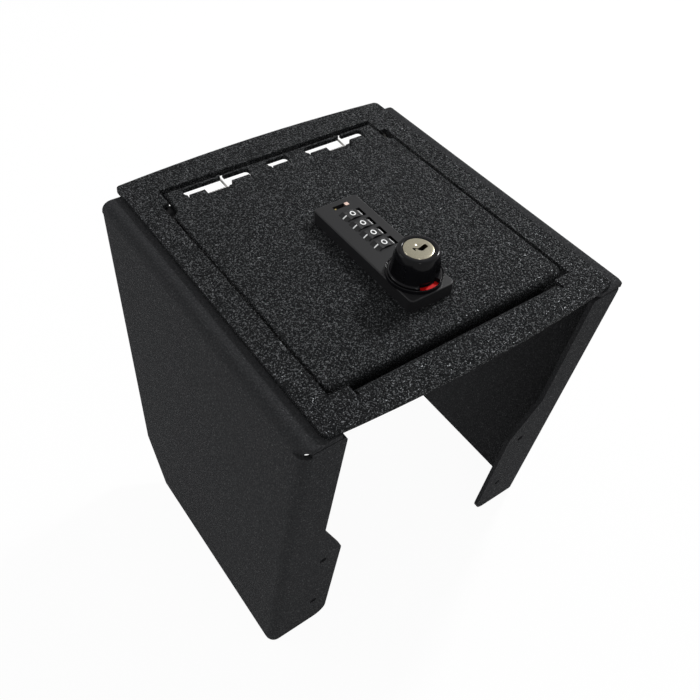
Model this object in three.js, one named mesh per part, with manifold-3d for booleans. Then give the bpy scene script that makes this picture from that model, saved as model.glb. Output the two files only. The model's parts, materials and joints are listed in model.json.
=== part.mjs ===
// Console safe: a folded-steel safe insert for a vehicle's centre console.
// Millimetres, +Z up, front towards -Y. The origin is at the middle of the rectangle that the side
// panels' bottom edges stand in, so the safe stands on z = 0.
import * as THREE from 'three';
import { mergeVertices } from 'three/addons/utils/BufferGeometryUtils.js';
import Module from 'manifold-3d';

const wasm = await Module();
wasm.setup();

// Driving dimensions: steel and overall size
const STEEL = 3; // sheet thickness of every folded panel
const HEIGHT = 238; // floor to the bezel's top face
const BODY_WIDTH = 225; // across the outer faces of the side panels
const BEZEL_DEPTH = 221; // between the bezel's corners
const BEZEL_BOW = 4.5; // how far the front and back edges bulge past the corners
const BEZEL_CORNER = 3;
const BEZEL_INSET = 12.5; // the bezel's side edges stand inside the panels' outer faces
const FIT = 0.3; // gap between touching pieces

// The opening in the bezel and its folded front flange with the strike lip
const OPENING_INSET = 4; // from a ledge's inner edge to the opening
const FRONT_BORDER = 17; // corner line of the bezel to the flange's face
const FLANGE_INSET = 14; // from the opening's side to the flange's end
const FLANGE_SETBACK = 2.2; // the opening's corners stand this much further in
const FLANGE_RADIUS = 4;
const RELIEF = 2; // width of the relief cuts beside a fold
const STRIKE_REACH = 8;
const BACK_BORDER = 16.5; // corner line of the bezel to the opening's back edge
const CHANNEL_DEPTH = 14; // the narrower part of the opening, over the hinge
const CHANNEL_STEP = 4.7;
const APRON_DROP = 13; // the apron behind the hinge hangs this far below the bezel's top face

// Side panels
const LEDGE_WIDTH = 24;
const LEDGE_PROUD = 1.5; // in front of the bezel's corners
const LEDGE_SHORT = 6.5; // in front of the bezel's back corners
const LEDGE_CHAMFER = [5, 9];
const FOLD_RADIUS = 6; // outer radius of the panels' folds
const FRONT_LEAN = 0.09; // the front flange leans back by this much per millimetre of drop
const BACK_STEP = 1.2; // the side's back edge starts this much before the ledge's
const BACK_LEAN = 22; // and comes forward by this much on its way down
const BACK_CHAMFER = [24, 32];
const FLANGE_GAP = 1.4; // slit between the front flange's top edge and the ledge
const NARROW_FLANGE = 26;
const TAB_WIDTH = 42.5;
const TAB_TOP = 97; // height of the wide tab's upper corner
const TAB_STEP = 36; // rise of the slanted edge from the tab to the narrow flange
const TAB_RADIUS = 9;
const BOLT_HOLE = 2.5; // radius
const BOLT_HEIGHTS = [31, 91];
const BOLT_INSET = 30; // hole centre from the panel's outer face
const WELD_LEG = 2.4;
const WELD_INSET = 21; // distance of the weld's ends from the ledge's front edge and the bracket

// Lid
const LID_GAP = 1.6; // beside the lid
const LID_FRONT_GAP = 4.7;
const LID_BACK_GAP = 3.5;
const LID_FLANGE = 12;
const LID_RADIUS = 1.5; // rounded side edges of the folded pan
const LID_FRONT_RADIUS = 4; // outer radius of its front fold
const LID_CORNER = 6;
const LID_NECK = 4.5; // how much it narrows on each side for the channel
const SHOULDER_LEAD = 12.8; // from the point where it narrows back to the hinge pin
const MIDDLE_WINDOW = 16; // width
const WINDOW_SPACING = 13;
const WINDOW_MARGIN = 10.5; // from the outer windows to the lid's narrowed edges
const WINDOW_DEPTH = 6.6;
const WINDOW_RADIUS = 2.4;
const FOLD_CUT = 1.2; // width of the slits that free each hinge tab
const FOLD_CUT_DEPTH = 3;
const NOTCH_INSET = 13; // from an outer window's outer end to the spring notch
const NOTCH_WIDTH = 19;
const NOTCH_DEPTH = 4.7;

// Hinge and springs
const PIN_RADIUS = 2.42;
const PIN_DROP = 8.5; // pin axis below the bezel's top face
const PIN_INSET = 13.5; // pin axis before the opening's back edge
const PIN_PLAY = 0.09;
const KNUCKLE_WALL = 2.1;
const TAB_OFFSET = 0.8; // the hinge tabs' back face stands this much behind the pin axis
const BRACKET = { ahead: 22.5, behind: 16.5, height: 17, rounding: 6, foot: 14, footWidth: 15 };
const CLIP_THICKNESS = 1;
const CLIP_RADIUS = 4.8;
const WIRE = 1.4; // spring wire diameter
const COIL_TURNS = 6;
const COIL_PITCH = 1.9;
const COIL_CLEARANCE = 0.65; // between the pin and the coil
const COIL_INSET = 4.5; // from the left end of a spring notch to the coil
const LEG_BACK = 17;
const LEG_FRONT = 24;
const LEG_RELIEF = 2.4; // slit before a notch that clears the leg when the lid stands open

// Combination lock, in its own frame: z = 0 on the lid's top face
const LOCK_INSET = 19.8; // from the lid's front edge to the lock plate
const PLATE = { width: 31, length: 92, height: 8, corner: 3, bevel: 0.8 };
const DIALS = 4;
const DIAL_PITCH = 10;
const DIAL_INSET = 16; // from the plate's back edge to the rearmost dial's middle
const DIAL_X = 1.9;
const DIAL_RADIUS = 9.5;
const DIAL_WIDTH = 7;
const DIAL_PROUD = 1.2;
const DIAL_FACES = 10;
const DIAL_GROOVE = 0.45;
const DIAL_PLAY = 0.5;
const DIAL_WINDOW = 7.4; // half length of a dial's window in the plate's top
const SHIELD = { gap: 0.4, wall: 0.6, from: 24, to: 56 }; // degrees to the left of a dial's top
const SPINDLE_RADIUS = 1.5;
const BAY_WALL = 1.6;
const SKIRT = 2.7; // depth of the housing's wall inside the lid's cut-out
const TRAY_DEPTH = 11; // the lock body below the lid's underside
const TRAY_WALL = 2;
const KNOB_INSET = 17; // from the plate's front edge to the knob's axis
const KNOB_RADIUS = 14.9; // of the round flange at its foot
const KNOB_FLANGE = 1.1; // thickness of that flange
const LOBE = { foot: 14, top: 13.2 }; // radii of the lobes above the flange
const KNOB_TOP = 26.5; // above the lid
const KNOB_FLOOR = 3; // thickness of the knob's foot
const COLLAR_RADIUS = 11.7;
const COLLAR_HEIGHT = 5.6;
const SCALLOPS = 3;
const SCALLOP_RADIUS = 7.3;
const SCALLOP_DEPTH = 3;
const SCALLOP_TURN = -58; // degrees
const HOOD = { inner: 11.8, rise: 3.4, margin: 3 }; // cut in the knob's foot that shows the window
const RING = { radius: 16.3, wall: 0.7, height: 2.4, floorTop: 1.8, floorUnder: 1.2 };
const WINDOW_ARC = { inner: 12.4, outer: 15.1, from: -117, to: -66 }; // degrees from +X
const SHAFT_RADIUS = 5;
const SHAFT_SQUARE = 7;
const SHAFT_PLAY = 0.1;
const BARREL_RADIUS = 9.8;
const CAM = { length: 40, width: 15, hub: 9, thickness: 3 };
const CAM_GAP = 0.3; // between the strike lip's underside and the cam
const CYLINDER = { shell: 7.9, plug: 5.6, face: 8.5, keyway: [-3.4, 5.2, 1.9], turn: -8 };
const WAFERS = 5;
const WAFER = { thickness: 0.6, width: 6, length: 9.2 };
const SLIDER = { width: 2.6, depth: 2.6, slot: 11, x: 1, inset: 5.8, travel: 4, play: 0.2 };
const SCREW = { shank: 1.9, head: 3.4, headHeight: 2.2, bite: 5, inset: 5 };
const DETENT = { leaf: 0.5, width: 10, ridge: 4.4 };
const BOLT_BITE = 5; // of the cam's bolt in the shaft

// Round shapes: facets in a full circle
const FINE = 48;
const MEDIUM = 32;
const SMALL = 20;

const paint = { color: 0x222324, roughness: 0.62, metalness: 0.1 };
const materials = {
  powderCoat: new THREE.MeshStandardMaterial(paint),
  zincSteel: new THREE.MeshStandardMaterial({ color: 0xa9abad, roughness: 0.35, metalness: 0.9 }),
  springSteel: new THREE.MeshStandardMaterial({ color: 0xb9b9b4, roughness: 0.3, metalness: 0.95 }),
  weld: new THREE.MeshStandardMaterial({ color: 0x2a2a2c, roughness: 0.7, metalness: 0.3 }),
  lockBlack: new THREE.MeshStandardMaterial({ color: 0x1b1c1e, roughness: 0.45, metalness: 0.2 }),
  knobBlack: new THREE.MeshStandardMaterial({ color: 0x111214, roughness: 0.22, metalness: 0.05 }),
  dialBlack: new THREE.MeshStandardMaterial({ color: 0x141416, roughness: 0.4, metalness: 0 }),
  nickel: new THREE.MeshStandardMaterial({ color: 0xcabfa6, roughness: 0.3, metalness: 0.9 }),
  brass: new THREE.MeshStandardMaterial({ color: 0xb08a4a, roughness: 0.35, metalness: 0.9 }),
  copper: new THREE.MeshStandardMaterial({ color: 0xb8704f, roughness: 0.35, metalness: 0.9 }),
  stateRed: new THREE.MeshStandardMaterial({ color: 0xd2281e, roughness: 0.4, metalness: 0 }),
};

// Turns a closed three.js geometry into a solid that can be cut and joined.
function solid(geometry) {
  const bare = geometry.clone();
  bare.deleteAttribute('normal');
  bare.deleteAttribute('uv');
  const merged = mergeVertices(bare, 1e-4);
  const mesh = new wasm.Mesh({
    numProp: 3,
    vertProperties: Float32Array.from(merged.attributes.position.array),
    triVerts: Uint32Array.from(merged.index.array),
  });
  return new wasm.Manifold(mesh);
}

function geometryOf(shape) {
  const mesh = shape.getMesh();
  const geometry = new THREE.BufferGeometry();
  geometry.setAttribute('position', new THREE.BufferAttribute(mesh.vertProperties, 3));
  geometry.setIndex(new THREE.BufferAttribute(mesh.triVerts, 1));
  return geometry;
}

// A closed outline through corners [x, y, radius]; a corner with a radius becomes an arc.
function outline(corners, Type = THREE.Shape) {
  const path = new Type();
  const count = corners.length;
  const points = [];
  for (let i = 0; i < count; i += 1) {
    const [x, y, radius = 0] = corners[i];
    const here = new THREE.Vector2(x, y);
    if (radius === 0) {
      points.push(here);
      continue;
    }
    const [lastX, lastY] = corners[(i + count - 1) % count];
    const [nextX, nextY] = corners[(i + 1) % count];
    const before = new THREE.Vector2(lastX, lastY).sub(here).normalize();
    const after = new THREE.Vector2(nextX, nextY).sub(here).normalize();
    const half = Math.acos(THREE.MathUtils.clamp(before.dot(after), -1, 1)) / 2;
    const bisector = before.clone().add(after).normalize();
    const centre = here.clone().addScaledVector(bisector, radius / Math.sin(half));
    const start = here.clone().addScaledVector(before, radius / Math.tan(half)).sub(centre);
    const end = here.clone().addScaledVector(after, radius / Math.tan(half)).sub(centre);
    let sweep = end.angle() - start.angle();
    if (sweep > Math.PI) sweep -= 2 * Math.PI;
    if (sweep < -Math.PI) sweep += 2 * Math.PI;
    const steps = Math.max(2, Math.ceil(Math.abs(sweep) / (Math.PI / 10)));
    for (let k = 0; k <= steps; k += 1) {
      points.push(start.clone().rotateAround(new THREE.Vector2(), (sweep * k) / steps).add(centre));
    }
  }
  path.setFromPoints(points);
  return path;
}

function rectangle(x0, x1, y0, y1, radius = 0) {
  return outline([[x0, y0, radius], [x1, y0, radius], [x1, y1, radius], [x0, y1, radius]]);
}

function circle(radius, x = 0, y = 0, facets = MEDIUM) {
  const corners = [];
  for (let i = 0; i < facets; i += 1) {
    const angle = (2 * Math.PI * (i + 0.5)) / facets;
    corners.push([x + radius * Math.cos(angle), y + radius * Math.sin(angle)]);
  }
  return outline(corners);
}

// A band between two radii, from one angle to the other in degrees
function arcShape(inner, outer, from, to, steps = 12) {
  const corners = [];
  for (let i = 0; i <= steps; i += 1) {
    const angle = THREE.MathUtils.degToRad(from + ((to - from) * i) / steps);
    corners.push([outer * Math.cos(angle), outer * Math.sin(angle)]);
  }
  for (let i = steps; i >= 0; i -= 1) {
    const angle = THREE.MathUtils.degToRad(from + ((to - from) * i) / steps);
    corners.push([inner * Math.cos(angle), inner * Math.sin(angle)]);
  }
  return outline(corners);
}

function extruded(shape, depth) {
  return new THREE.ExtrudeGeometry(shape, { depth, bevelEnabled: false, curveSegments: 1 });
}

// Prisms whose outline lies across Z (drawn in x, y), across X (in y, z) or across Y (in x, z).
function prismZ(shape, z0, z1) {
  return solid(extruded(shape, z1 - z0).translate(0, 0, z0));
}

function prismX(shape, x0, x1) {
  const turn = new THREE.Matrix4().makeBasis(
    new THREE.Vector3(0, 1, 0),
    new THREE.Vector3(0, 0, 1),
    new THREE.Vector3(1, 0, 0),
  );
  return solid(extruded(shape, x1 - x0).applyMatrix4(turn).translate(x0, 0, 0));
}

function prismY(shape, y0, y1) {
  return solid(extruded(shape, y1 - y0).rotateX(Math.PI / 2).translate(0, y1, 0));
}

function box(x0, x1, y0, y1, z0, z1) {
  return prismZ(rectangle(x0, x1, y0, y1), z0, z1);
}

function cylinderZ(radius, z0, z1, x = 0, y = 0, facets = MEDIUM) {
  return prismZ(circle(radius, x, y, facets), z0, z1);
}

// A solid of revolution about Z through points [radius, z] that close on themselves.
function revolved(profile, facets = FINE) {
  const points = profile.map(([radius, z]) => new THREE.Vector2(radius, z));
  points.push(points[0].clone());
  return solid(new THREE.LatheGeometry(points, facets).rotateX(Math.PI / 2));
}

function moved(shape, x, y, z) {
  return solid(geometryOf(shape).translate(x, y, z));
}

// The mirror image in the plane x = 0; reversing the index keeps the faces pointing outwards
function mirrored(shape) {
  const geometry = geometryOf(shape).scale(-1, 1, 1);
  geometry.index.array.reverse();
  return solid(geometry);
}

function joined(shapes) {
  return shapes.reduce((sum, shape) => sum.add(shape));
}

const safe = new THREE.Group();

function place(name, shape, material, group = safe) {
  const mesh = new THREE.Mesh(geometryOf(shape), materials[material]);
  mesh.name = name;
  group.add(mesh);
  return mesh;
}

// Levels and faces that several pieces share
const bezelUnder = HEIGHT - STEEL;
const ledgeUnder = bezelUnder - STEEL;
const sideX = BODY_WIDTH / 2;
const ledgeX = sideX - LEDGE_WIDTH; // a ledge's inner edge
const openingX = ledgeX - OPENING_INSET;
const cornerY = BEZEL_DEPTH / 2;
const ledgeFront = cornerY + LEDGE_PROUD; // in front of the centre
const ledgeBack = cornerY - LEDGE_SHORT;
const flangeFace = -cornerY + FRONT_BORDER; // y of the flange's face inside the opening
const channelBack = cornerY - BACK_BORDER;
const pinY = channelBack - PIN_INSET;
const pinZ = HEIGHT - PIN_DROP;
const bracketFront = pinY - BRACKET.ahead;
const lidX = openingX - LID_GAP;
const neckX = lidX - LID_NECK;
const lidFront = flangeFace + LID_FRONT_GAP;
const lidBack = channelBack - LID_BACK_GAP;
const lidUnder = HEIGHT - LID_FLANGE;
const strikeTop = lidUnder - FIT;
const strikeUnder = strikeTop - STEEL;
const foldInner = FOLD_RADIUS - STEEL;
const windowFront = pinY + TAB_OFFSET;
const windowEnd = neckX - WINDOW_MARGIN; // outer end of the outer windows
const notchEnd = windowEnd - NOTCH_INSET; // outer end of a spring notch
const notchStart = notchEnd - NOTCH_WIDTH;
const coilStarts = {
  left_lid_spring: COIL_INSET - notchEnd,
  right_lid_spring: COIL_INSET + notchStart,
};

// The lock's pieces are drawn in a frame of their own on the lid's top face, and what turns with the
// knob is drawn about the knob's axis
const lockY = lidFront + LOCK_INSET + PLATE.length / 2;
const knobY = KNOB_INSET - PLATE.length / 2;
const lock = new THREE.Group();
lock.position.set(0, lockY, HEIGHT);
safe.add(lock);
const knobAxis = new THREE.Group();
knobAxis.position.set(0, knobY, 0);
lock.add(knobAxis);

// Points of a bowed edge from x0 to x1 at y, bulging by bow
function bowedEdge(x0, x1, y, bow, steps = 20) {
  const half = Math.abs(x1 - x0) / 2;
  const radius = (half * half + bow * bow) / (2 * Math.abs(bow));
  const points = [];
  for (let i = 1; i < steps; i += 1) {
    const x = x0 + ((x1 - x0) * i) / steps;
    const rise = Math.sqrt(radius * radius - x * x) - (radius - Math.abs(bow));
    points.push([x, y + Math.sign(bow) * rise]);
  }
  return points;
}

// Bezel: a plate with bowed front and back edges. The opening's front edge is folded down and in,
// and the fold's lip is the strike under which the latch cam turns.
function bezel() {
  const x = sideX - BEZEL_INSET;
  const plate = prismZ(outline([
    [-x, -cornerY, BEZEL_CORNER],
    ...bowedEdge(-x, x, -cornerY, -BEZEL_BOW),
    [x, -cornerY, BEZEL_CORNER],
    [x, cornerY, BEZEL_CORNER],
    ...bowedEdge(x, -x, cornerY, BEZEL_BOW),
    [-x, cornerY, BEZEL_CORNER],
  ]), bezelUnder, HEIGHT);
  const foldX = openingX - FLANGE_INSET;
  const foldLine = flangeFace - FLANGE_RADIUS;
  const cutX = foldX + RELIEF;
  const cornerEdge = flangeFace + FLANGE_SETBACK;
  const channelX = openingX - CHANNEL_STEP;
  const channelStart = channelBack - CHANNEL_DEPTH;
  const opening = prismZ(outline([
    [-openingX, cornerEdge],
    [-cutX, cornerEdge],
    [-cutX, foldLine - RELIEF / 2],
    [-foldX, foldLine - RELIEF / 2],
    [-foldX, foldLine],
    [foldX, foldLine],
    [foldX, foldLine - RELIEF / 2],
    [cutX, foldLine - RELIEF / 2],
    [cutX, cornerEdge],
    [openingX, cornerEdge],
    [openingX, channelStart],
    [channelX, channelStart],
    [channelX, channelBack, 1],
    [-channelX, channelBack, 1],
    [-channelX, channelStart],
    [-openingX, channelStart],
  ]), bezelUnder - 1, HEIGHT + 1);
  const flange = prismX(outline([
    [foldLine - FIT, HEIGHT],
    [flangeFace, HEIGHT, FLANGE_RADIUS],
    [flangeFace, strikeTop],
    [flangeFace + STRIKE_REACH, strikeTop],
    [flangeFace + STRIKE_REACH, strikeUnder],
    [flangeFace - STEEL, strikeUnder, STEEL - 1],
    [flangeFace - STEEL, bezelUnder, FLANGE_RADIUS - STEEL],
    [foldLine - FIT, bezelUnder],
  ]), -foldX, foldX);
  // An apron behind the hinge hides the gap and anchors the springs' back legs in two holes
  const apronBack = channelBack + STEEL;
  let apron = box(FIT - openingX, openingX - FIT, channelBack, apronBack, HEIGHT - APRON_DROP, HEIGHT - 1);
  for (const start of Object.values(coilStarts)) {
    const legX = start + COIL_PITCH * COIL_TURNS;
    const half = WIRE / 2 + FIT;
    apron = apron.subtract(box(legX - half, legX + half, channelBack - 1, apronBack + 1,
      bezelUnder - 2 * half - FIT, bezelUnder));
  }
  return plate.subtract(opening).add(flange).add(apron);
}
place('bezel', bezel(), 'powderCoat');

// Front face of the side panels' flange at height z
const flangeY = (z) => -ledgeFront + FRONT_LEAN * (bezelUnder - z);

// Right side panel: a ledge that carries the bezel, a tall side, and a leaning front flange that
// widens into a bolt-on tab. The left panel is its mirror image.
function sidePanel() {
  const inner = sideX - STEEL;
  const ledge = prismY(outline([
    [ledgeX, ledgeUnder],
    [inner, ledgeUnder, foldInner],
    [inner, 0],
    [sideX, 0],
    [sideX, bezelUnder, FOLD_RADIUS],
    [ledgeX, bezelUnder],
  ]), -ledgeFront, ledgeBack);
  const foldLow = bezelUnder - FOLD_RADIUS - FLANGE_GAP;
  const backTop = ledgeBack - BACK_STEP;
  const backLow = backTop - BACK_LEAN;
  const sideOutline = prismX(outline([
    [-ledgeFront, bezelUnder + 1],
    [-ledgeFront, foldLow],
    [flangeY(foldLow) + FOLD_RADIUS, foldLow],
    [flangeY(0) + FOLD_RADIUS, 0],
    [backLow - BACK_CHAMFER[0], 0],
    [backLow, BACK_CHAMFER[1]],
    [backTop, foldLow],
    [ledgeBack, foldLow],
    [ledgeBack, bezelUnder + 1],
  ]), 0, sideX + 1);
  const chamfer = prismZ(outline([
    [sideX + 1, -ledgeFront - 1],
    [sideX + 1, -ledgeFront + LEDGE_CHAMFER[1] * (1 + 1 / LEDGE_CHAMFER[0])],
    [sideX - LEDGE_CHAMFER[0] - 1, -ledgeFront - LEDGE_CHAMFER[1] / LEDGE_CHAMFER[0]],
  ]), foldLow - FIT, HEIGHT);
  const innerChamfer = prismZ(outline([
    [ledgeX - 1, -ledgeFront - 1],
    [ledgeX + STEEL, -ledgeFront - 1],
    [ledgeX - 1, -ledgeFront + STEEL],
  ]), foldLow - FIT, HEIGHT);
  const top = ledge.intersect(sideOutline).subtract(chamfer).subtract(innerChamfer);

  const flangeTop = ledgeUnder - FLANGE_GAP;
  const fold = extruded(outline([
    [sideX - TAB_WIDTH, 0],
    [sideX, 0, FOLD_RADIUS],
    [sideX, FOLD_RADIUS + 1],
    [inner, FOLD_RADIUS + 1],
    [inner, STEEL, foldInner],
    [sideX - TAB_WIDTH, STEEL],
  ]), flangeTop);
  const lean = new THREE.Matrix4().makeShear(0, 0, 0, 0, 0, -FRONT_LEAN);
  fold.applyMatrix4(lean).translate(0, flangeY(0), 0);
  const flangeOutline = prismY(outline([
    [sideX - TAB_WIDTH, 0, TAB_RADIUS],
    [sideX + 1, 0],
    [sideX + 1, foldLow - FIT],
    [sideX - FOLD_RADIUS, foldLow - FIT],
    [sideX - FOLD_RADIUS, flangeTop],
    [sideX - NARROW_FLANGE, flangeTop, STEEL],
    [sideX - NARROW_FLANGE, TAB_TOP + TAB_STEP],
    [sideX - TAB_WIDTH, TAB_TOP, TAB_RADIUS],
  ]), -ledgeFront - 1, 0);
  let flange = solid(fold).intersect(flangeOutline);
  for (const height of BOLT_HEIGHTS) {
    const hole = prismY(circle(BOLT_HOLE, sideX - BOLT_INSET, height, SMALL), -ledgeFront, 0);
    flange = flange.subtract(hole);
  }
  return top.add(flange);
}
place('right_side_panel', sidePanel(), 'powderCoat');
place('left_side_panel', mirrored(sidePanel()), 'powderCoat');

// Fillet weld along a ledge's inner edge, in the corner under the bezel
function weldSeam() {
  return prismY(outline([
    [ledgeX, bezelUnder - WELD_LEG],
    [ledgeX, bezelUnder],
    [ledgeX - WELD_LEG, bezelUnder],
  ]), WELD_INSET - ledgeFront, bracketFront - WELD_INSET);
}
place('right_weld_seam', weldSeam(), 'weld');
place('left_weld_seam', mirrored(weldSeam()), 'weld');

// Hinge brackets: angles under the bezel whose upright ears carry the ends of the pin
function hingeBracket() {
  const x0 = openingX;
  const x1 = x0 + STEEL;
  const footTop = ledgeUnder;
  const ear = prismX(outline([
    [bracketFront, bezelUnder],
    [bracketFront, bezelUnder - BRACKET.height, BRACKET.rounding / 3],
    [pinY + BRACKET.behind, bezelUnder - BRACKET.height, BRACKET.rounding],
    [pinY + BRACKET.behind, bezelUnder],
  ]), x0, x1);
  const foot = box(x1 - 1, x1 + BRACKET.footWidth, bracketFront, bracketFront + BRACKET.foot,
    footTop - STEEL, footTop);
  const bore = prismX(circle(PIN_RADIUS + PIN_PLAY, pinY, pinZ, FINE / 2), x0 - 1, x1 + 1);
  return ear.add(foot).subtract(bore);
}
place('right_hinge_bracket', hingeBracket(), 'powderCoat');
place('left_hinge_bracket', mirrored(hingeBracket()), 'powderCoat');

// Hinge pin with a groove near each end, and the clips that sit in the grooves
const pinEnd = openingX + STEEL;
const clipX = openingX - FIT - CLIP_THICKNESS; // inner face of the right clip
const grooveRadius = PIN_RADIUS - 0.5;
function hingePin() {
  const pin = prismX(circle(PIN_RADIUS, pinY, pinZ, FINE / 2), -pinEnd, pinEnd);
  const grooveStart = clipX - FIT / 2;
  const grooveEnd = clipX + CLIP_THICKNESS + FIT / 2;
  const core = prismX(circle(grooveRadius, pinY, pinZ, FINE / 2), grooveStart - 1, grooveEnd + 1);
  const groove = prismX(circle(2 * PIN_RADIUS, pinY, pinZ, FINE / 2), grooveStart, grooveEnd).subtract(core);
  return pin.subtract(groove).subtract(mirrored(groove));
}
place('hinge_pin', hingePin(), 'zincSteel');

function pinClip() {
  const x1 = clipX + CLIP_THICKNESS;
  const mouthHalf = grooveRadius - FIT;
  const disc = prismX(circle(CLIP_RADIUS, pinY, pinZ, SMALL), clipX, x1);
  const bore = prismX(circle(grooveRadius + 0.1, pinY, pinZ, FINE / 2), clipX - 1, x1 + 1);
  const mouth = box(clipX - 1, x1 + 1, pinY - mouthHalf, pinY + mouthHalf, pinZ - 2 * CLIP_RADIUS, pinZ);
  return disc.subtract(bore).subtract(mouth);
}
place('right_pin_clip', pinClip(), 'springSteel');
place('left_pin_clip', mirrored(pinClip()), 'springSteel');

// Lid spring: one wire that starts under the lid, coils round the pin and ends under the bezel's
// back strip
class SpringPath extends THREE.Curve {
  constructor(start) {
    super();
    this.start = start;
    this.radius = PIN_RADIUS + COIL_CLEARANCE + WIRE / 2;
    this.legTop = bezelUnder - FIT - WIRE / 2;
    this.end = start + COIL_TURNS * COIL_PITCH;
    this.coilLength = COIL_TURNS * Math.hypot(2 * Math.PI * this.radius, COIL_PITCH);
    this.total = LEG_FRONT + this.coilLength + LEG_BACK;
  }

  // Both legs leave the coil's top and rise a little to the sheet above them
  leg(x, distance, length) {
    const rise = this.legTop - pinZ - this.radius;
    const share = THREE.MathUtils.smoothstep(Math.abs(distance), 0, length);
    return new THREE.Vector3(x, pinY + distance, pinZ + this.radius + rise * share);
  }

  getPoint(t) {
    const travelled = t * this.total;
    if (travelled < LEG_FRONT) return this.leg(this.start, travelled - LEG_FRONT, LEG_FRONT);
    const afterCoil = travelled - LEG_FRONT - this.coilLength;
    if (afterCoil > 0) return this.leg(this.end, afterCoil, LEG_BACK);
    const turn = (COIL_TURNS * (travelled - LEG_FRONT)) / this.coilLength;
    return new THREE.Vector3(
      this.start + turn * COIL_PITCH,
      pinY + this.radius * Math.sin(2 * Math.PI * turn),
      pinZ + this.radius * Math.cos(2 * Math.PI * turn),
    );
  }
}

const COIL_STEPS = 8; // per turn
const WIRE_SIDES = 5;
function lidSpring(path) {
  const steps = Math.round((COIL_STEPS * COIL_TURNS * path.total) / path.coilLength);
  return solid(new THREE.ExtrudeGeometry(circle(WIRE / 2, 0, 0, WIRE_SIDES), { steps, extrudePath: path }));
}

// Least distance between one turn's wire and the next, measured on points along the path
function leastGap(path) {
  const perTurn = 24;
  const count = Math.round((perTurn * COIL_TURNS * path.total) / path.coilLength);
  const points = path.getSpacedPoints(count);
  let least = Infinity;
  for (let i = 0; i < count; i += 1) {
    for (let j = i + perTurn / 2; j <= count; j += 1) {
      least = Math.min(least, points[i].distanceTo(points[j]) - WIRE);
    }
  }
  return least;
}

for (const [name, start] of Object.entries(coilStarts)) {
  const path = new SpringPath(start);
  place(name, lidSpring(path), 'springSteel');
  console.log(`${name}: least gap between turns ${leastGap(path).toFixed(2)} mm`);
}

// Lid: a shallow folded pan. Three windows along its back edge are what is left where the hinge tabs
// were folded down and curled round the pin; two notches clear the springs.
const middleX = MIDDLE_WINDOW / 2;
const windowRanges = [
  [-windowEnd, -middleX - WINDOW_SPACING],
  [-middleX, middleX],
  [middleX + WINDOW_SPACING, windowEnd],
];
const knuckleRadius = PIN_RADIUS + PIN_PLAY + KNUCKLE_WALL;

function hingeTab(x0, x1) {
  const neckFront = windowFront - STEEL;
  const neck = prismX(rectangle(neckFront, windowFront, pinZ, HEIGHT - STEEL / 2), x0, x1);
  const curl = prismX(circle(knuckleRadius, pinY, pinZ, MEDIUM), x0, x1);
  return neck.add(curl);
}

// Where the lock goes through the lid, in the lock's frame
const dialFirst = PLATE.length / 2 - DIAL_INSET;
const bay = {
  x0: DIAL_X - DIAL_RADIUS - DIAL_PLAY,
  x1: DIAL_X + DIAL_RADIUS + DIAL_PLAY,
  y0: dialFirst - (DIALS - 1) * DIAL_PITCH - DIAL_WIDTH / 2 - DIAL_PLAY,
  y1: dialFirst + DIAL_WIDTH / 2 + DIAL_PLAY,
};

const screws = {
  rear: [-PLATE.width / 2 + SCREW.inset, PLATE.length / 2 - SCREW.inset],
  middle: [0, (bay.y0 - BAY_WALL + knobY + BARREL_RADIUS) / 2],
};

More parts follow.
